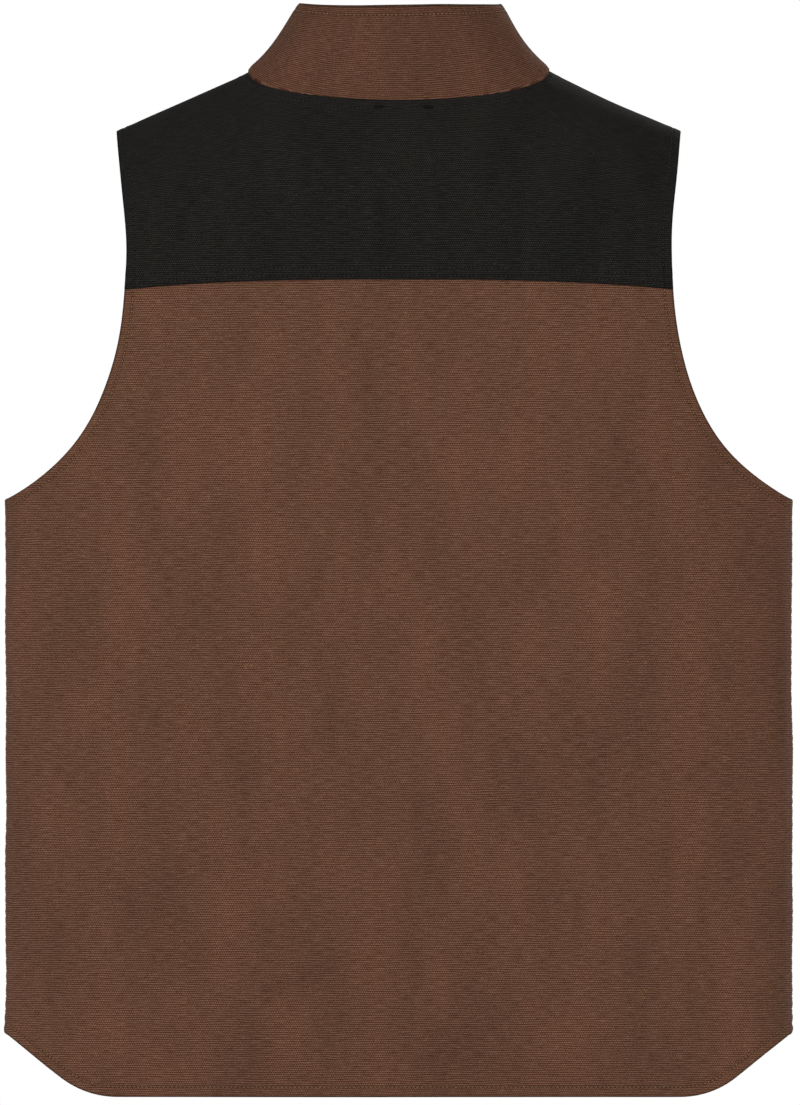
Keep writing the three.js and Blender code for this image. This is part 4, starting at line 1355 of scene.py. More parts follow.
collar_back = collar_piece("collar_back_cloth", parted(-1), parted(1), 260)
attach(collar_back, "root")
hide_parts("collar_back", "collar_back_lining")
for name, hand in hands.items():
    front_end = lambda rise: hand * collar_end(rise)
    piece = collar_piece(f"{name}_collar_cloth", parted(hand), front_end, 120)
    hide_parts(f"{name}_collar_front", f"{name}_collar_front_lining")
    fold(piece)

# %% [markdown]
# ## Topstitching
# Every seam of the vest is topstitched, tan on brown and dark grey on black. Each row follows its
# edge at the distance that the relief used, so the beads lie in their grooves.

# %% Topstitching
seat = 0.0003


def inset_row(edge, distance, lift):
    """Stitches at a distance from an edge of the body."""
    row = moved_aside(resample(edge, np.linspace(0, 1, 900)), distance)
    return stitches_on(row, lambda pairs: cloth(pairs, lift - seat))


def beside(edge, hand, way, distances, lift):
    """Rows of stitches beside an edge, drawn for the right half; the way is 1 or -1."""
    return [inset_row(handed(edge, hand), way * hand * row, lift) for row in distances]


back_rows = beside(back_bottom, 1, 1, hem_rows, hem_fold[0])
for hand in (-1, 1):
    back_rows += beside(back_arm, hand, -1, arm_rows, arm_fold[0])
    back_rows += beside(back_side, hand, -1, side_rows, side_fold[0])
back_stitches = topstitch("back_stitches", back_rows, tan_thread)
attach(back_stitches, "root")

yoke_rows_made = beside(yoke_bottom, 1, 1, yoke_rows, lap)
back_yoke_arm = arm_edge(BACK, yoke_line(arm_half_width), -shoulder_drop, count=120)
for hand in (-1, 1):
    yoke_rows_made += beside(back_yoke_arm, hand, 1, arm_rows, arm_fold[0])
    yoke_rows_made += beside(shoulder_seam, hand, -1, shoulder_rows, lap)
    yoke_rows_made += beside(neck_half, hand, -1, neck_rows, neck_fold[0])
yoke_stitches = topstitch("yoke_stitches", yoke_rows_made, grey_thread)
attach(yoke_stitches, "root")

for name, hand in hands.items():
    rows = beside(front_bottom, hand, -1, hem_rows, hem_fold[0])
    rows += beside(front_lower_arm, hand, 1, arm_rows, arm_fold[0])
    rows += beside(panel_zip, hand, 1, zip_rows, zip_fold[0])
    fold(topstitch(f"{name}_front_stitches", rows, tan_thread))
    rows = beside(front_yoke_bottom, hand, -1, yoke_rows, lap)
    rows += beside(front_arm, hand, -1, arm_rows, arm_fold[0])
    rows += beside(front_neck, hand, 1, neck_rows, neck_fold[0])
    rows += beside(yoke_zip, hand, 1, zip_rows, zip_fold[0])
    fold(topstitch(f"{name}_yoke_stitches", rows, grey_thread))

# %% Collar stitches and tacks
collar_height = collar_top_height + back_neck_drop
stitch_rise = 1 - collar_row / collar_height


def collar_line(start, end, rise, count=300):
    """A level line on the collar between two angles."""
    return np.stack([np.linspace(start, end, count), np.full(count, rise)], -1)


rows = [stitches_on(collar_line(-parting, parting, stitch_rise), collar_lifted(-0.0001))]
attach(topstitch("collar_stitches", rows, tan_thread), "root")
for name, hand in hands.items():
    line = collar_line(parting, collar_end(stitch_rise) - 0.05, stitch_rise) * [hand, 1]
    rise = np.linspace(0.02, stitch_rise, 60)
    edge = np.stack([hand * (collar_end(rise) - 0.05), rise], -1)
    rows = [stitches_on(part, collar_lifted(-0.0001)) for part in (line, edge)]
    fold(topstitch(f"{name}_collar_stitches", rows, tan_thread))

tack_length = 0.008
tack_width = 0.0026
tack_pitch = 0.0006
tack_bead = 0.0007


def tack(path, normals):
    """A bar tack: close stitches laid across a short path."""
    places = at_lengths(path, np.arange(0, length_along(path)[-1], tack_pitch))
    along = unit(path[-1] - path[0])
    sideways = np.cross(normals.mean(0), along)
    slant = unit(sideways + 0.12 * along)
    return places, np.tile(slant, (len(places), 1)), np.tile(normals.mean(0), (len(places), 1))


def tack_beads(name, tacks, material):
    """One mesh of bar tacks."""
    centres, along, up = (np.concatenate(parts) for parts in zip(*tacks))
    return beads(name, centres, along, up, material, tack_width, tack_bead)


def body_tack(x, z, side, lift, length=tack_length, level=False):
    """A bar tack on the body, centred at x and z, upright or level."""
    run = np.linspace(-length / 2, length / 2, 12)
    flat = np.zeros(12)
    pairs = pairs_at(x + (run if level else flat), z + (flat if level else run), side)
    return tack(cloth(pairs, lift), outward(pairs))


loop_half_span = 0.018
loop_middle = 0.0035
loop_tack_place = -0.0275
loop_tack_length = 0.006
loop_tack_lift = 0.0011
tacks = []
for hand in (-1, 1):
    x = loop_middle + hand * loop_half_span
    placed = body_tack(x, loop_tack_place, BACK, loop_tack_lift, loop_tack_length, level=True)
    tacks.append(placed)
loop_tacks = tack_beads("hang_loop_tacks", tacks, tack_thread)
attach(loop_tacks, "root")
print("two tacks hold the hang loop")

# %% [markdown]
# ## Facings and lining
# Inside, each raw edge is covered by a strip of canvas, and the rest by a quilted lining: two
# thin cloths with wadding between, sewn through in diamonds. The quilting is a height: pinched
# where either of two slanting sine waves is 0, and thick in the middle of each diamond.

# %% Facings
facing_depth = -0.0017
facing_thickness = 0.0016
arm_facing_width = 0.014
hem_facing_width = 0.025
fold_x = 0.085


def strip(first, second, columns, rows):
    """Pairs between two edges, mixed straight across."""
    shares = np.linspace(0, 1, columns)
    a, b = resample(first, shares)[None], resample(second, shares)[None]
    return mix(a, b, np.linspace(0, 1, rows)[:, None, None])


def facing(name, pairs, material, node, slot_name, folded=None):
    """A flat strip behind the canvas."""
    inner = facing_depth - facing_thickness
    made = cloth_sheet(name, pairs, facing_depth, inner, material)
    stand_for(made, slot_name, node)
    declare_cloth(pairs)
    if folded:
        fold(made)
    else:
        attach(made, "root")


def above(hem):
    """The height of the upper edge of a hem's facing."""
    return lambda x: hem(x) + hem_facing_width


inner_x = shoulder_half_width - arm_facing_width
inner_top = ridge(inner_x)
inner_bottom = -arm_depth - 0.0157
back_facing_top = across(BACK, -half_width, half_width, above(back_hem))
hem_strip = strip(back_bottom, back_facing_top, 260, 12)
facing("back_hem_strip", hem_strip, brown, "back_hem_facing", "brown_duck")
neck_at_fold = np.pi - np.arcsin(fold_x / neck_half_width)
fold_neck_height = front_neck_drop * np.cos(neck_at_fold)


def upright(x, z_from, z_to, count=120):
    """A straight upright line on the front."""
    return pairs_at(np.full(count, x), np.linspace(z_from, z_to, count), FRONT)


front_facing_pairs = patch(
    across(FRONT, zip_edge, fold_x, front_hem),
    neck_edge(zip_angle, neck_at_fold),
    zip_side(front_hem(zip_edge), zip_neck_height),
    upright(fold_x, front_hem(fold_x), fold_neck_height),
    30,
    150,
)
front_hem_strip = strip(
    across(FRONT, fold_x, half_width, front_hem),
    across(FRONT, fold_x, half_width, above(front_hem)),
    100,
    12,
)
for name, hand in hands.items():
    for side, word in ((BACK, "back"), (FRONT, "front")):
        outer_edge = arm_edge(side, -shoulder_drop, -arm_depth)
        inner_edge = arm_edge(side, inner_top, inner_bottom, arm_facing_width)
        pairs = handed(strip(outer_edge, inner_edge, 160, 8), hand)
        node = f"{name}_{word}_armhole_facing"
        facing(f"{name}_{word}_armhole_strip", pairs, black, node, "black_duck")
    pairs = handed(front_hem_strip, hand)
    facing(f"{name}_hem_strip", pairs, brown, f"{name}_front_hem_facing", "brown_duck", name)
    pairs = handed(front_facing_pairs, hand)
    facing(f"{name}_zip_facing", pairs, brown, f"{name}_front_facing", "brown_duck", name)

# %% Quilted lining
diamond = 0.052
pinched, puffed = 0.0012, 0.0036
lining_depth = -0.0023


def quilt(pairs):
    """Thickness of the quilting: pinched + puff x (|sin| of each slanting line, softened)."""
    flat = cloth_map(pairs)
    rising = np.abs(np.sin(np.pi * (flat[..., 0] + flat[..., 1]) / diamond))
    falling = np.abs(np.sin(np.pi * (flat[..., 0] - flat[..., 1]) / diamond))
    soft = 1 - np.exp(-np.minimum(rising, falling) * 3.2)
    crease = 0.00035 * np.sin(flat[..., 0] * 900 + 3 * np.sin(flat[..., 1] * 210))
    return pinched + puffed * soft + crease * np.exp(-np.minimum(rising, falling) * 6)


def lining(name, pairs, node):
    """A quilted piece behind the canvas."""
    made = cloth_sheet(name, pairs, lining_depth, lining_depth - quilt(pairs), quilting)
    stand_for(made, "lining", node)
    print(f"{name}: {len(made.data.polygons)} faces")
    return made


def ridge_line(x_from, x_to, count=30):
    """A line along the shoulder ridge."""
    girth = np.linspace(girth_of(x_from), girth_of(x_to), count)
    return np.stack([girth, np.zeros(count)], -1)


inner_ridge = ridge_line(neck_half_width, inner_x)[1:]
back_lining_top = np.concatenate([neck_edge(0, np.pi / 2), inner_ridge])
back_inner_arm = arm_edge(BACK, hem_end + hem_facing_width, inner_top, arm_facing_width, 400)
back_lining_bottom = across(BACK, -half_width, half_width, above(back_hem), 300)
back_lining_pairs = patch(
    back_lining_bottom,
    both_sides(back_lining_top),
    mirrored(back_inner_arm),
    back_inner_arm,
    190,
    210,
)
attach(lining("back_quilting", back_lining_pairs, "back_lining"), "root")
front_lining_pairs = patch(
    across(FRONT, fold_x, half_width, above(front_hem)),
    np.concatenate([neck_edge(neck_at_fold, np.pi / 2), inner_ridge]),
    upright(fold_x, front_hem(fold_x) + hem_facing_width, fold_neck_height),
    arm_edge(FRONT, front_hem_end + hem_facing_width, inner_top, arm_facing_width, 400),
    90,
    200,
)
for name, hand in hands.items():
    pairs = handed(front_lining_pairs, hand)
    fold(lining(f"{name}_quilting", pairs, f"{name}_front_lining"))

# %% [markdown]
# ## Hang loop and label
# A narrow webbing loop is caught in the neck seam, so that the vest can hang on a hook. It is a
# flat band carried along a sagging path, with its width across the path. Below it lies a woven
# label, left blank here, stitched all round to the quilting.

# %% Hang loop
loop_width, loop_thickness = 0.004, 0.0018
loop_low, loop_high = low_corner("hang_loop"), high_corner("hang_loop")


def band(name, path, facing_way, width, thickness, material):
    """A flat band: path + u x width across it, one face either side of half the thickness."""
    tangent = unit(np.gradient(path, axis=0))
    across_band = unit(np.cross(tangent, facing_way))
    normal = np.cross(across_band, tangent)
    u = np.linspace(-width / 2, width / 2, 7)
    middle = path[:, None] + across_band[:, None] * u[None, :, None]
    uv = np.stack(np.broadcast_arrays(length_along(path)[:, None], u[None]), -1)
    half = normal[:, None] * thickness / 2
    return closed_sheet(name, middle + half, middle - half, uv, material, rim_steps=5)


loop_turn = np.linspace(0, np.pi, 70)
loop_sag = np.sin(loop_turn)
loop_path = np.stack(
    [
        -np.cos(loop_turn) * loop_half_span,
        mix(loop_low[1] + loop_thickness, loop_high[1] - loop_thickness, loop_sag),
        mix(loop_high[2], loop_low[2] + loop_width / 2, loop_sag**0.9),
    ],
    1,
)
loop_band = band(
    "hang_loop_tape", loop_path, np.array([0, 1.0, 0]), loop_width, loop_thickness, webbing
)
settle(loop_band, "root", "webbing", "hang_loop")
print(f"the loop is {length_along(loop_path)[-1]:.3f} m long")

# %% Neck label
label_low, label_high = low_corner("neck_label"), high_corner("neck_label")
label_depth = -0.0078
label_thickness = 0.0006


def level(side, x_from, x_to, z, count=60):
    """A level line on one side."""
    return across(side, x_from, x_to, lambda x: np.full_like(x, z), count)


label_pairs = strip(
    level(BACK, label_low[0], label_high[0], label_low[2]),
    level(BACK, label_low[0], label_high[0], label_high[2]),
    60,
    40,
)
label_wave = 0.0002 * np.sin(label_pairs[..., 0] * 60) * np.cos(label_pairs[..., 1] * 40)
label_face = label_depth + label_wave
label_back = label_depth - label_thickness + label_wave
label = cloth_sheet("neck_label_cloth", label_pairs, label_face, label_back, label_cloth)
settle(label, "root", "label_cloth", "neck_label")
declare_cloth(label_pairs)
label_inset = 0.0016
label_box = (
    label_low[0] + label_inset,
    label_high[0] - label_inset,
    label_low[2] + label_inset,
    label_high[2] - label_inset,
)


def frame_rows(x_from, x_to, z_from, z_to, side, lift):
    """Four rows of stitches round a rectangle."""
    z = np.linspace(z_from, z_to, 60)
    lines = [level(side, x_from, x_to, z_from), level(side, x_from, x_to, z_to)]
    lines += [pairs_at(np.full(60, x), z, side) for x in (x_from, x_to)]
    return [stitches_on(line, lambda pairs: cloth(pairs, lift)) for line in lines]


label_rows = frame_rows(*label_box, BACK, label_depth - 0.0007)
label_rows = [(places, along, -up) for places, along, up in label_rows]
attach(topstitch("neck_label_stitches", label_rows, black_thread), "root")

# %% [markdown]
# ## The front zip
# A heavy brass zip closes the front. Each tooth is a small casting clamped on the tape: a broad
# foot, a waist, and a head that reaches past the middle between two teeth of the other side. One
# outline of twelve points is carried through four depths, the first and last smaller, so that the
# edges are chamfered. There are nearly four hundred, so each has few faces.

# %% Teeth
tooth_pitch = 0.0034
tooth_outline = np.array(
    [
        (5.9, 1.15),
        (3.7, 1.15),
        (2.7, 0.74),
        (0.4, 0.74),
        (-0.3, 0.72),
        (-1.0, 0.42),
        (-1.0, -0.42),
        (-0.3, -0.72),
        (0.4, -0.74),
        (2.7, -0.74),
        (3.7, -1.15),
        (5.9, -1.15),
    ]
) / 1000
tooth_points = len(tooth_outline)
tooth_chamfer = 0.0004
tooth_sizes = (0.82, 1, 1, 0.82)


def tooth_row(heights, hand, scale, inner_face, outer_face):
    """Points (across, out, up) and faces of a row of teeth on one side of the zip."""
    outline = (tooth_outline * scale)[:: int(hand)]
    middle = outline.mean(0)
    chamfer = tooth_chamfer * scale
    depths = [inner_face, inner_face + chamfer, outer_face - chamfer, outer_face]
    rings = []
    for depth, size in zip(depths, tooth_sizes):
        flat = middle + (outline - middle) * size
        rings.append(np.stack([hand * flat[:, 0], np.full(tooth_points, depth), flat[:, 1]], 1))
    tooth = np.concatenate(rings)
    points = (tooth[None] + heights[:, None, None] * np.array([0, 0, 1])).reshape(-1, 3)
    ring = np.arange(tooth_points)
    after = np.roll(ring, -1)
    walls = [
        np.stack([ring, after, after + tooth_points, ring + tooth_points], 1) + k * tooth_points
        for k in range(3)
    ]
    ends = np.stack([ring[::-1], ring + 3 * tooth_points])
    shift = (np.arange(len(heights)) * len(tooth))[:, None, None]
    return points, [(part + shift).reshape(-1, part.shape[1]) for part in (*walls, ends)]


teeth_low, teeth_high = low_corner("left_zip_teeth"), high_corner("left_zip_teeth")
front_heights = np.arange(teeth_low[2] + 0.0012, teeth_high[2] - 0.0012, tooth_pitch)
pin_top = low_corner("right_zip_teeth")[2]
for name, hand in hands.items():
    heights = front_heights + (tooth_pitch / 2 if hand > 0 else 0)
    heights = heights[heights < teeth_high[2] - 0.001]
    if hand > 0:
        heights = heights[heights > pin_top + 0.001]
    points, faces = tooth_row(heights, hand, 1.0, teeth_low[1], teeth_high[1])
    row = make_object(f"{name}_teeth_row", points, faces, brass, smooth=False)
    settle(row, f"{name}_front", "zip_brass", f"{name}_zip_teeth")
    print(f"{name}: {len(heights)} teeth")

# %% Tapes
tape_inner, tape_outer = 0.0034, 0.00895
tape_low, tape_high = low_corner("left_zip_tape"), high_corner("left_zip_tape")


def straight_tape(name, across_line, up_line, inner_face, outer_face, place, material):
    """A flat tape on a grid, with a shallow ridge every few threads along it."""
    x, z = np.meshgrid(across_line, up_line)
    ribs = 0.00008 * np.sin(x / 0.0009 * 2 * np.pi)
    faces = [
        place(np.stack([x, np.full_like(x, face) + sign * ribs, z], -1))
        for face, sign in ((outer_face, 1), (inner_face, -1))
    ]
    return closed_sheet(name, *faces, np.stack([x, z], -1), material, rim_steps=4)


for name, hand in hands.items():
    x = hand * np.linspace(tape_inner, tape_outer, 12)
    z = np.linspace(tape_low[2], tape_high[2], 160)
    tape = straight_tape(
        f"{name}_tape_cloth", x, z, tape_low[1], tape_high[1], lambda points: points, webbing
    )
    settle(tape, f"{name}_front", "webbing", f"{name}_zip_tape")

# %% [markdown]
# ## Sliders, pulls, box and pin
# These are castings whose frame shapes are right but sharp. A copy of each is merged and given a
# small bevel, because a cast and tumbled edge always catches a line of light.


# %% Castings
soft_edge = 0.0003


def softened(node, body):
    """A merged copy of a CAD piece, with its edges rounded by a Bevel modifier."""
    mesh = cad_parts[node].data.copy()
    custom = mesh.attributes.get("custom_normal")
    if custom is not None:
        mesh.attributes.remove(custom)
    shape = bmesh.new()
    shape.from_mesh(mesh)
    bmesh.ops.remove_doubles(shape, verts=shape.verts, dist=1e-5)
    nearly_flat = np.radians(2)
    bmesh.ops.dissolve_limit(
        shape, angle_limit=nearly_flat, verts=shape.verts, edges=shape.edges
    )
    shape.to_mesh(mesh)
    shape.free()
    mesh.materials.clear()
    mesh.materials.append(brass)
    mesh.shade_smooth()
    made = bpy.data.objects.new(f"{node}_cast", mesh)
    bpy.context.collection.objects.link(made)
    bevel = made.modifiers.new("soft edges", "BEVEL")
    bevel.width = soft_edge
    bevel.segments = 3
    bevel.limit_method = "ANGLE"
    bevel.angle_limit = np.radians(28)
    bevel.harden_normals = True
    settle(made, body, "zip_brass", node)


castings = {
    "retainer_box": "left_front",
    "insertion_pin": "right_front",
    "zip_slider": "zip_slider",
    "zip_pull": "zip_pull",
    "chest_slider": "chest_slider",
    "chest_pull": "chest_pull",
}
for node, body in castings.items():
    softened(node, body)
print(f"{len(castings)} castings")

# %% [markdown]
# ## The chest pocket
# On the wearer's left chest an upright zip opens a small bag that hangs between canvas and
# lining. Its tape is sewn flat on the canvas with a row down each side and a bar tack at each end.

# %% Chest zip
chest_low, chest_high = low_corner("chest_zip_tape"), high_corner("chest_zip_tape")
chest_middle = (chest_low + chest_high) / 2
chest_normal = outward(pairs_at(chest_middle[0], chest_middle[2], FRONT))
chest_across = np.cross(chest_normal, [0, 0, 1.0])
chest_length = chest_high[2] - chest_low[2]
chest_half_tape = 0.009
chest_scale = 0.44
chest_pitch = 0.0017


def on_chest(points):
    """Points (across, out, up) from the middle of the tape, placed on the chest."""
    return (
        chest_middle
        + points[..., :1] * chest_across
        + points[..., 1:2] * chest_normal
        + points[..., 2:] * np.array([0, 0, 1.0])
    )


chest_tape = straight_tape(
    "chest_tape_cloth",
    np.linspace(-chest_half_tape, chest_half_tape, 40),
    np.linspace(-chest_length / 2, chest_length / 2, 80),
    -0.0009,
    0.0005,
    on_chest,
    webbing,
)
settle(chest_tape, "root", "webbing", "chest_zip_tape")
half_teeth = (high_corner("chest_zip_teeth")[2] - low_corner("chest_zip_teeth")[2]) / 2
chest_heights = np.arange(-half_teeth + 0.001, half_teeth - 0.001, chest_pitch)
row_points, row_faces, shift = [], [], 0
for hand in (-1, 1):
    heights = chest_heights[:-1] + (chest_pitch / 2 if hand > 0 else 0)
    points, faces = tooth_row(heights, hand, chest_scale, 0.0006, 0.0028)
    row_points.append(on_chest(points))
    row_faces += [part + shift for part in faces]
    shift += len(points)
chest_teeth = make_object(
    "chest_teeth_rows", np.concatenate(row_points), row_faces, brass, smooth=False
)
settle(chest_teeth, "root", "zip_brass", "chest_zip_teeth")
print(f"chest zip: {2 * len(heights)} teeth")

# %% Chest stitches and bag
tape_row = 0.0072
chest_rows, chest_tacks = [], []
for hand in (-1, 1):
    up_line = np.linspace(-chest_length / 2 + 0.002, chest_length / 2 - 0.002, 60)
    flat_line = np.stack([np.full(60, hand * tape_row), np.full(60, 0.0006), up_line], 1)
    places, along, _ = stitch_frames(on_chest(flat_line), 0.001)
    chest_rows.append((places, along, np.tile(chest_normal, (len(places), 1))))
    run = np.linspace(-tape_row, tape_row, 30)
    end_height = hand * (chest_length / 2 - 0.0026)
    level_line = np.stack([run, np.full(30, 0.0007), np.full(30, end_height)], 1)
    chest_tacks.append(tack(on_chest(level_line), np.tile(chest_normal, (30, 1))))
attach(topstitch("chest_zip_stitches", chest_rows, tan_thread), "root")
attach(tack_beads("chest_zip_tacks", chest_tacks, tan_thread), "root")
bag_low, bag_high = low_corner("chest_pocket_bag"), high_corner("chest_pocket_bag")
bag_pairs = strip(
    level(FRONT, bag_low[0], bag_high[0], bag_low[2]),
    level(FRONT, bag_low[0], bag_high[0], bag_high[2]),
    40,
    80,
)
bag = cloth_sheet("chest_bag_cloth", bag_pairs, -0.0017, -0.0022, quilting)
settle(bag, "root", "lining", "chest_pocket_bag")
declare_cloth(bag_pairs)

# %% [markdown]
# ## Patch pockets
# The lower pockets are patches cut larger than the place they cover. A sewn flange lies flat on
# the front, then a gusset rises to the pocket's face, so the pocket stands off and holds tools.
# All of it is one surface: its height depends only on the distance from the sewn edge and on how
# low it is, because the bag is deepest at the bottom. The mouth stays open at the top.

# %% Pocket shapes
cloth_gap = 0.0003
pocket_low, pocket_high = low_corner("right_patch_pocket"), high_corner("right_patch_pocket")
flap_low, flap_high = low_corner("right_pocket_flap"), high_corner("right_pocket_flap")
mouth_depth, foot_depth = 0.013, 0.024
flange, gusset = 0.006, 0.009
flap_ramp, flap_clearance, flap_thickness = 0.016, 0.0024, 0.002
pocket_radius, flap_radius = 0.018, 0.012
edge_row, face_row = 0.003, 0.0178
mouth_row, mouth_hem_row = 0.003, 0.018
pocket_wall = 0.0012


def rounded_patch(low, high, radius, columns, rows):
    """Pairs of a patch with round lower corners, and the pairs of its sides and foot."""
    a = np.linspace(0, np.pi / 2, 24)
    corner = radius * np.stack([1 - np.cos(a), 1 - np.sin(a)], 1)
    flat_x = np.linspace(low[0] + radius, high[0] - radius, 40)
    foot = np.concatenate(
        [
            corner + [low[0], low[2]],
            np.stack([flat_x, np.full(40, low[2])], 1)[1:-1],
            corner[::-1] * [-1, 1] + [high[0], low[2]],
        ]
    )
    z = np.linspace(low[2] + radius, high[2], 40)
    foot_pairs = pairs_at(foot[:, 0], foot[:, 1], FRONT)
    inner, outer = (pairs_at(np.full(40, x), z, FRONT) for x in (low[0], high[0]))
    pairs = patch(foot_pairs, level(FRONT, low[0], high[0], high[2]), inner, outer, columns, rows)
    return pairs, np.concatenate([inner[::-1], foot_pairs[1:], outer[1:]])


def pocket_depth(z):
    """How far the pocket's face stands off: even growth from the mouth to the foot."""
    share = np.clip((pocket_high[2] - z) / (pocket_high[2] - pocket_low[2]), 0, 1)
    return mix(mouth_depth, foot_depth, share)


pocket_pairs, pocket_edge = rounded_patch(pocket_low, pocket_high, pocket_radius, 110, 120)
pocket_path = surface(resample(pocket_edge, np.linspace(0, 1, 900)))


def pocket_lift(pairs, inside=0.0):
    """Outer face of the right pocket: flange, then a smooth rise over the gusset to the face, which
    has a ridge along its edge, a soft crown and shallow folds; `inside` moves it in for the back."""
    points = surface(pairs)
    away, along = nearest(points, pocket_path)
    away = away - inside
    rise = smooth_step((away - flange) / gusset)
    face = cloth_gap + pocket_depth(points[..., 2])
    sag = 0.0012 * np.cos(points[..., 0] * 55) * np.sin(points[..., 2] * 36 + 1.0)
    crown = 0.0013 * bell(away - 0.004, 0.016)
    crease = 0.0012 * bell(away - flange - 0.45 * gusset, 0.0016)
    ridge_lift = 0.0009 * bell(away - flange - gusset - 0.0006, 0.0014)
    below_mouth = pocket_high[2] - points[..., 2]
    hem = 0.0007 * (1 - smooth_step((below_mouth - 0.019) / 0.003))
    pucker = 1.2 * pucker_height * pucker_beat(along) * bell(away - edge_row, 0.003)
    rows = bell(below_mouth - mouth_hem_row, groove_width)
    rows += bell(below_mouth - mouth_row, groove_width)
    rows += bell(away - face_row, groove_width)
    standing = face - 0.0019 - crown + sag + hem + ridge_lift - groove_depth * rows
    low_lift = cloth_gap + canvas_thickness
    return mix(low_lift, standing, rise) - crease * rise + pucker - inside


def flap_inner(z):
    """Inner side of the flap: it comes out over a short drop, then clears the pocket's face."""
    full = cloth_gap + pocket_depth(np.minimum(z, pocket_high[2])) + flap_clearance
    share = np.clip((flap_high[2] - z) / flap_ramp, 0, 1)
    return mix(cloth_gap, full, np.sin(share * np.pi / 2))


flap_pairs, flap_edge = rounded_patch(flap_low, flap_high, flap_radius, 100, 70)
flap_path = surface(resample(flap_edge, np.linspace(0, 1, 900)))
flap_row, flap_seam_row = 0.006, 0.003


def flap_lift(pairs):
    """Outer face of the flap, with a groove 6 mm in from its edge and one under its seam."""
    points = surface(pairs)
    away, along = nearest(points, flap_path)
    groove = bell(away - flap_row, groove_width)
    below = flap_high[2] - points[..., 2]
    groove += bell(below - flap_seam_row, groove_width)
    pucker = pucker_height * pucker_beat(along) * bell(away - flap_row, 0.005)
    wave = 0.0005 * np.sin(points[..., 0] * 90) * smooth_step(below / 0.03)
    return flap_inner(points[..., 2]) + flap_thickness + wave + pucker - groove_depth * groove


print("pockets stand off", mouth_depth, "to", foot_depth, "m")

# %% Pockets and flaps
away = nearest(surface(pocket_pairs), pocket_path)[0]
pocket_seam = np.minimum(away, np.minimum(abs(away - edge_row), abs(away - face_row)))
pocket_face = pocket_lift(pocket_pairs)
pocket_back = np.maximum(pocket_lift(pocket_pairs, pocket_wall), cloth_gap)
away = nearest(surface(flap_pairs), flap_path)[0]
flap_seam = np.minimum(away, abs(away - flap_row))
flap_face = flap_lift(flap_pairs)
flap_back = flap_face - flap_thickness
for name, hand in hands.items():
    pairs = handed(pocket_pairs, hand)
    pocket = cloth_sheet(
        f"{name}_pocket_cloth", pairs, pocket_face, pocket_back, brown, pocket_seam, 5
    )
    settle(pocket, "root", "brown_duck", f"{name}_patch_pocket")
    pairs = handed(flap_pairs, hand)
    flap = cloth_sheet(f"{name}_flap_cloth", pairs, flap_face, flap_back, brown, flap_seam, 5)
    settle(flap, f"{name}_flap", "brown_duck", f"{name}_pocket_flap")


# %% Pocket stitches
mouth_inset, flap_inset = 0.018, 0.003
corner_inset, corner_drop = 0.004, 0.005
corner_lift, corner_length = 0.0021, 0.009


def seated(lift_of, hand):
    """Points on a pocket or flap of either hand, a little below its outer face."""
    return lambda pairs: cloth(pairs, lift_of(handed(pairs, hand)) - seat)


def patch_row(edge, distance, hand, lift_of):
    """Stitches inside the sewn edge of a pocket or flap, on its own face."""
    row = moved_aside(resample(edge, np.linspace(0, 1, 900)), -distance)
    return stitches_on(handed(row, hand), seated(lift_of, hand))


for name, hand in hands.items():
    rows = [patch_row(pocket_edge, row, hand, pocket_lift) for row in (edge_row, face_row)]
    mouth_x = (pocket_low[0] + mouth_inset, pocket_high[0] - mouth_inset)
    for below in (mouth_row, mouth_hem_row):
        line = handed(level(FRONT, *mouth_x, pocket_high[2] - below), hand)
        rows.append(stitches_on(line, seated(pocket_lift, hand)))
    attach(topstitch(f"{name}_pocket_stitches", rows, tan_thread), "root")
    rows = [patch_row(flap_edge, flap_row, hand, flap_lift)]
    flap_x = (flap_low[0] + flap_inset, flap_high[0] - flap_inset)
    line = handed(level(FRONT, *flap_x, flap_high[2] - flap_seam_row), hand)
    rows.append(stitches_on(line, seated(flap_lift, hand)))
    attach(topstitch(f"{name}_flap_stitches", rows, tan_thread), f"{name}_flap")
    top = pocket_high[2] - corner_drop
    ends = [
        body_tack(hand * x, top, FRONT, corner_lift, corner_length)
        for x in (pocket_low[0] + corner_inset, pocket_high[0] - corner_inset)
    ]
    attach(tack_beads(f"{name}_pocket_tacks", ends, tan_thread), "root")

# %% [markdown]
# ## Snaps
# A press snap has a domed cap on the flap and a stud on the pocket. Both are turned shapes: a
# profile of radius and height, carried round an axis that stands square to the cloth.


# %% Snap caps and studs
def turned(name, profile, centre, axis, material, sides=40):
    """A profile of (radius, height) turned round an axis; its first and last radius are 0."""
    first = unit(np.cross(axis, [0, 0, 1.0]))
    second = np.cross(axis, first)
    angle = 2 * np.pi * np.arange(sides) / sides
    circle = np.cos(angle)[:, None] * first + np.sin(angle)[:, None] * second
    radii, heights = profile[1:-1, 0], profile[1:-1, 1]
    rings = centre + circle[None] * radii[:, None, None] + heights[:, None, None] * axis
    poles = centre + profile[[0, -1], 1][:, None] * axis
    points = np.concatenate([rings.reshape(-1, 3), poles])
    ring = np.arange(sides)
    after = np.roll(ring, -1)
    walls = [
        np.stack([ring, after, after + sides, ring + sides], 1) + k * sides
        for k in range(len(radii) - 1)
    ]
    last = (len(radii) - 1) * sides
    bottom, top = len(radii) * sides, len(radii) * sides + 1
    ends = [
        np.stack([np.full(sides, bottom), after, ring], 1),
        np.stack([np.full(sides, top), ring + last, after + last], 1),
    ]
    return make_object(name, points, [np.concatenate(walls), np.concatenate(ends)], material)


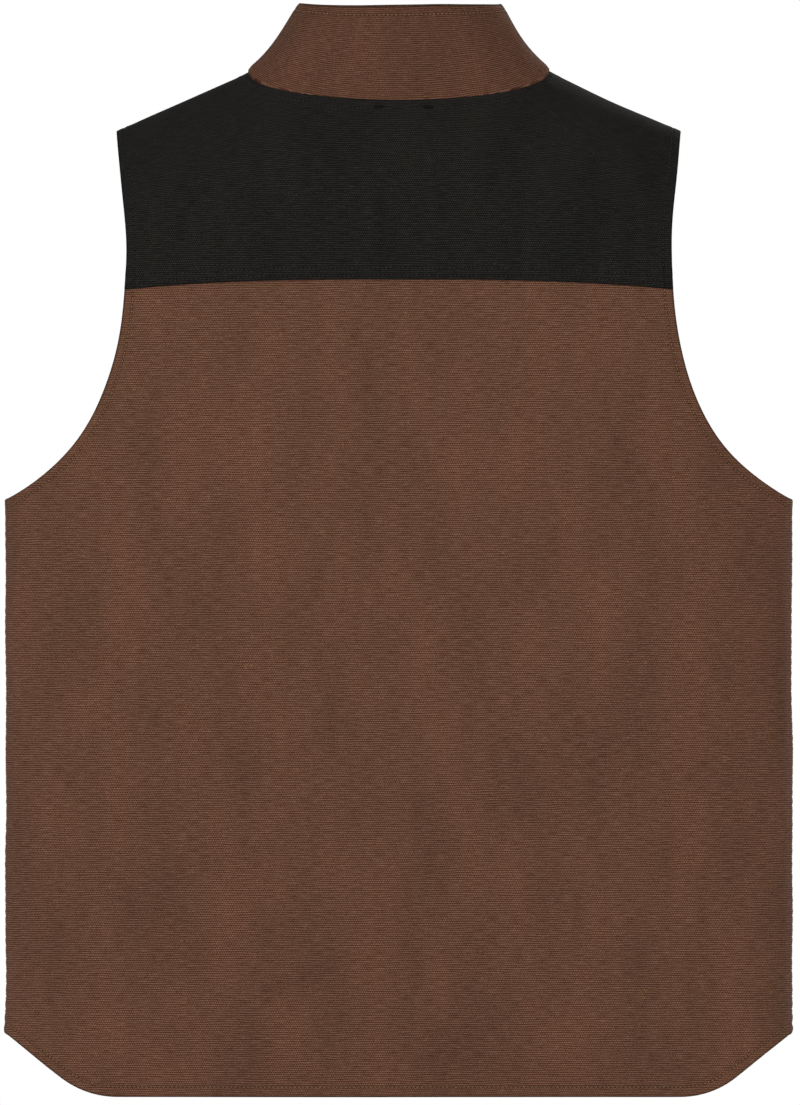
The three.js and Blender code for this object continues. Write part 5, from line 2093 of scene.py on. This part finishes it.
def rounded(points, count=8):
    """A profile with a short curve in place of each corner: quadratic curves between mid-points."""
    t = np.linspace(0, 1, count)[:, None]
    parts = [points[:1]]
    for before, corner, after in zip(points[:-2], points[1:-1], points[2:]):
        start, end = mix(corner, before, 0.3), mix(corner, after, 0.3)
        parts.append(start * (1 - t) ** 2 + 2 * corner * t * (1 - t) + end * t**2)
    return np.concatenate([*parts, points[-1:]])


cap_radii = [0, 7.4, 7.5, 6.4, 5.2, 4.6, 3.0, 0]
cap_heights = [0, 0, 1.2, 1.9, 1.5, 1.6, 2.1, 2.2]
stud_radii = [0, 5.0, 5.0, 2.9, 2.5, 2.8, 1.6, 0]
stud_heights = [0, 0, 0.5, 0.7, 1.1, 1.5, 1.6, 1.1]
cap_profile = rounded(np.stack([cap_radii, cap_heights], 1) / 1000)
stud_profile = rounded(np.stack([stud_radii, stud_heights], 1) / 1000)
snap_seat = 0.0002
for name, hand in hands.items():
    for word, profile, body, face in (
        ("cap", cap_profile, f"{name}_flap", flap_lift),
        ("stud", stud_profile, "root", pocket_lift),
    ):
        node = f"{name}_snap_{word}"
        middle = (low_corner(node) + high_corner(node)) / 2
        spot = pairs_at(abs(middle[0]), middle[2], FRONT)[None]
        at = handed(spot, hand)
        base = cloth(at, face(spot) - snap_seat)[0]
        snap = turned(f"{node}_brass", profile, base, outward(at)[0], brass)
        settle(snap, body, "zip_brass", node)
print("two snaps")

# %% [markdown]
# ## The floor
# A plain pale floor under the hem catches a soft shadow.

# %% Floor
floor_gap = 0.045
floor_height = -back_length - floor_gap
floor_radius = 1.0
floor_sides = 96
floor_turn = np.linspace(0, 2 * np.pi, floor_sides, endpoint=False)
floor_circle = np.stack([np.cos(floor_turn), np.sin(floor_turn), np.zeros(floor_sides)], 1)
floor_rim = floor_circle * floor_radius
floor_mesh = bpy.data.meshes.new("floor")
floor_mesh.from_pydata(floor_rim + [0, 0, floor_height], [], [tuple(range(floor_sides))])
floor = bpy.data.objects.new("floor", floor_mesh)
bpy.context.collection.objects.link(floor)
floor_material, _, floor_shader = start_material("pale_floor", Roughness=0.9)
floor_shader.inputs["Base Color"].default_value = (0.93, 0.93, 0.93, 1)
floor_mesh.materials.append(floor_material)
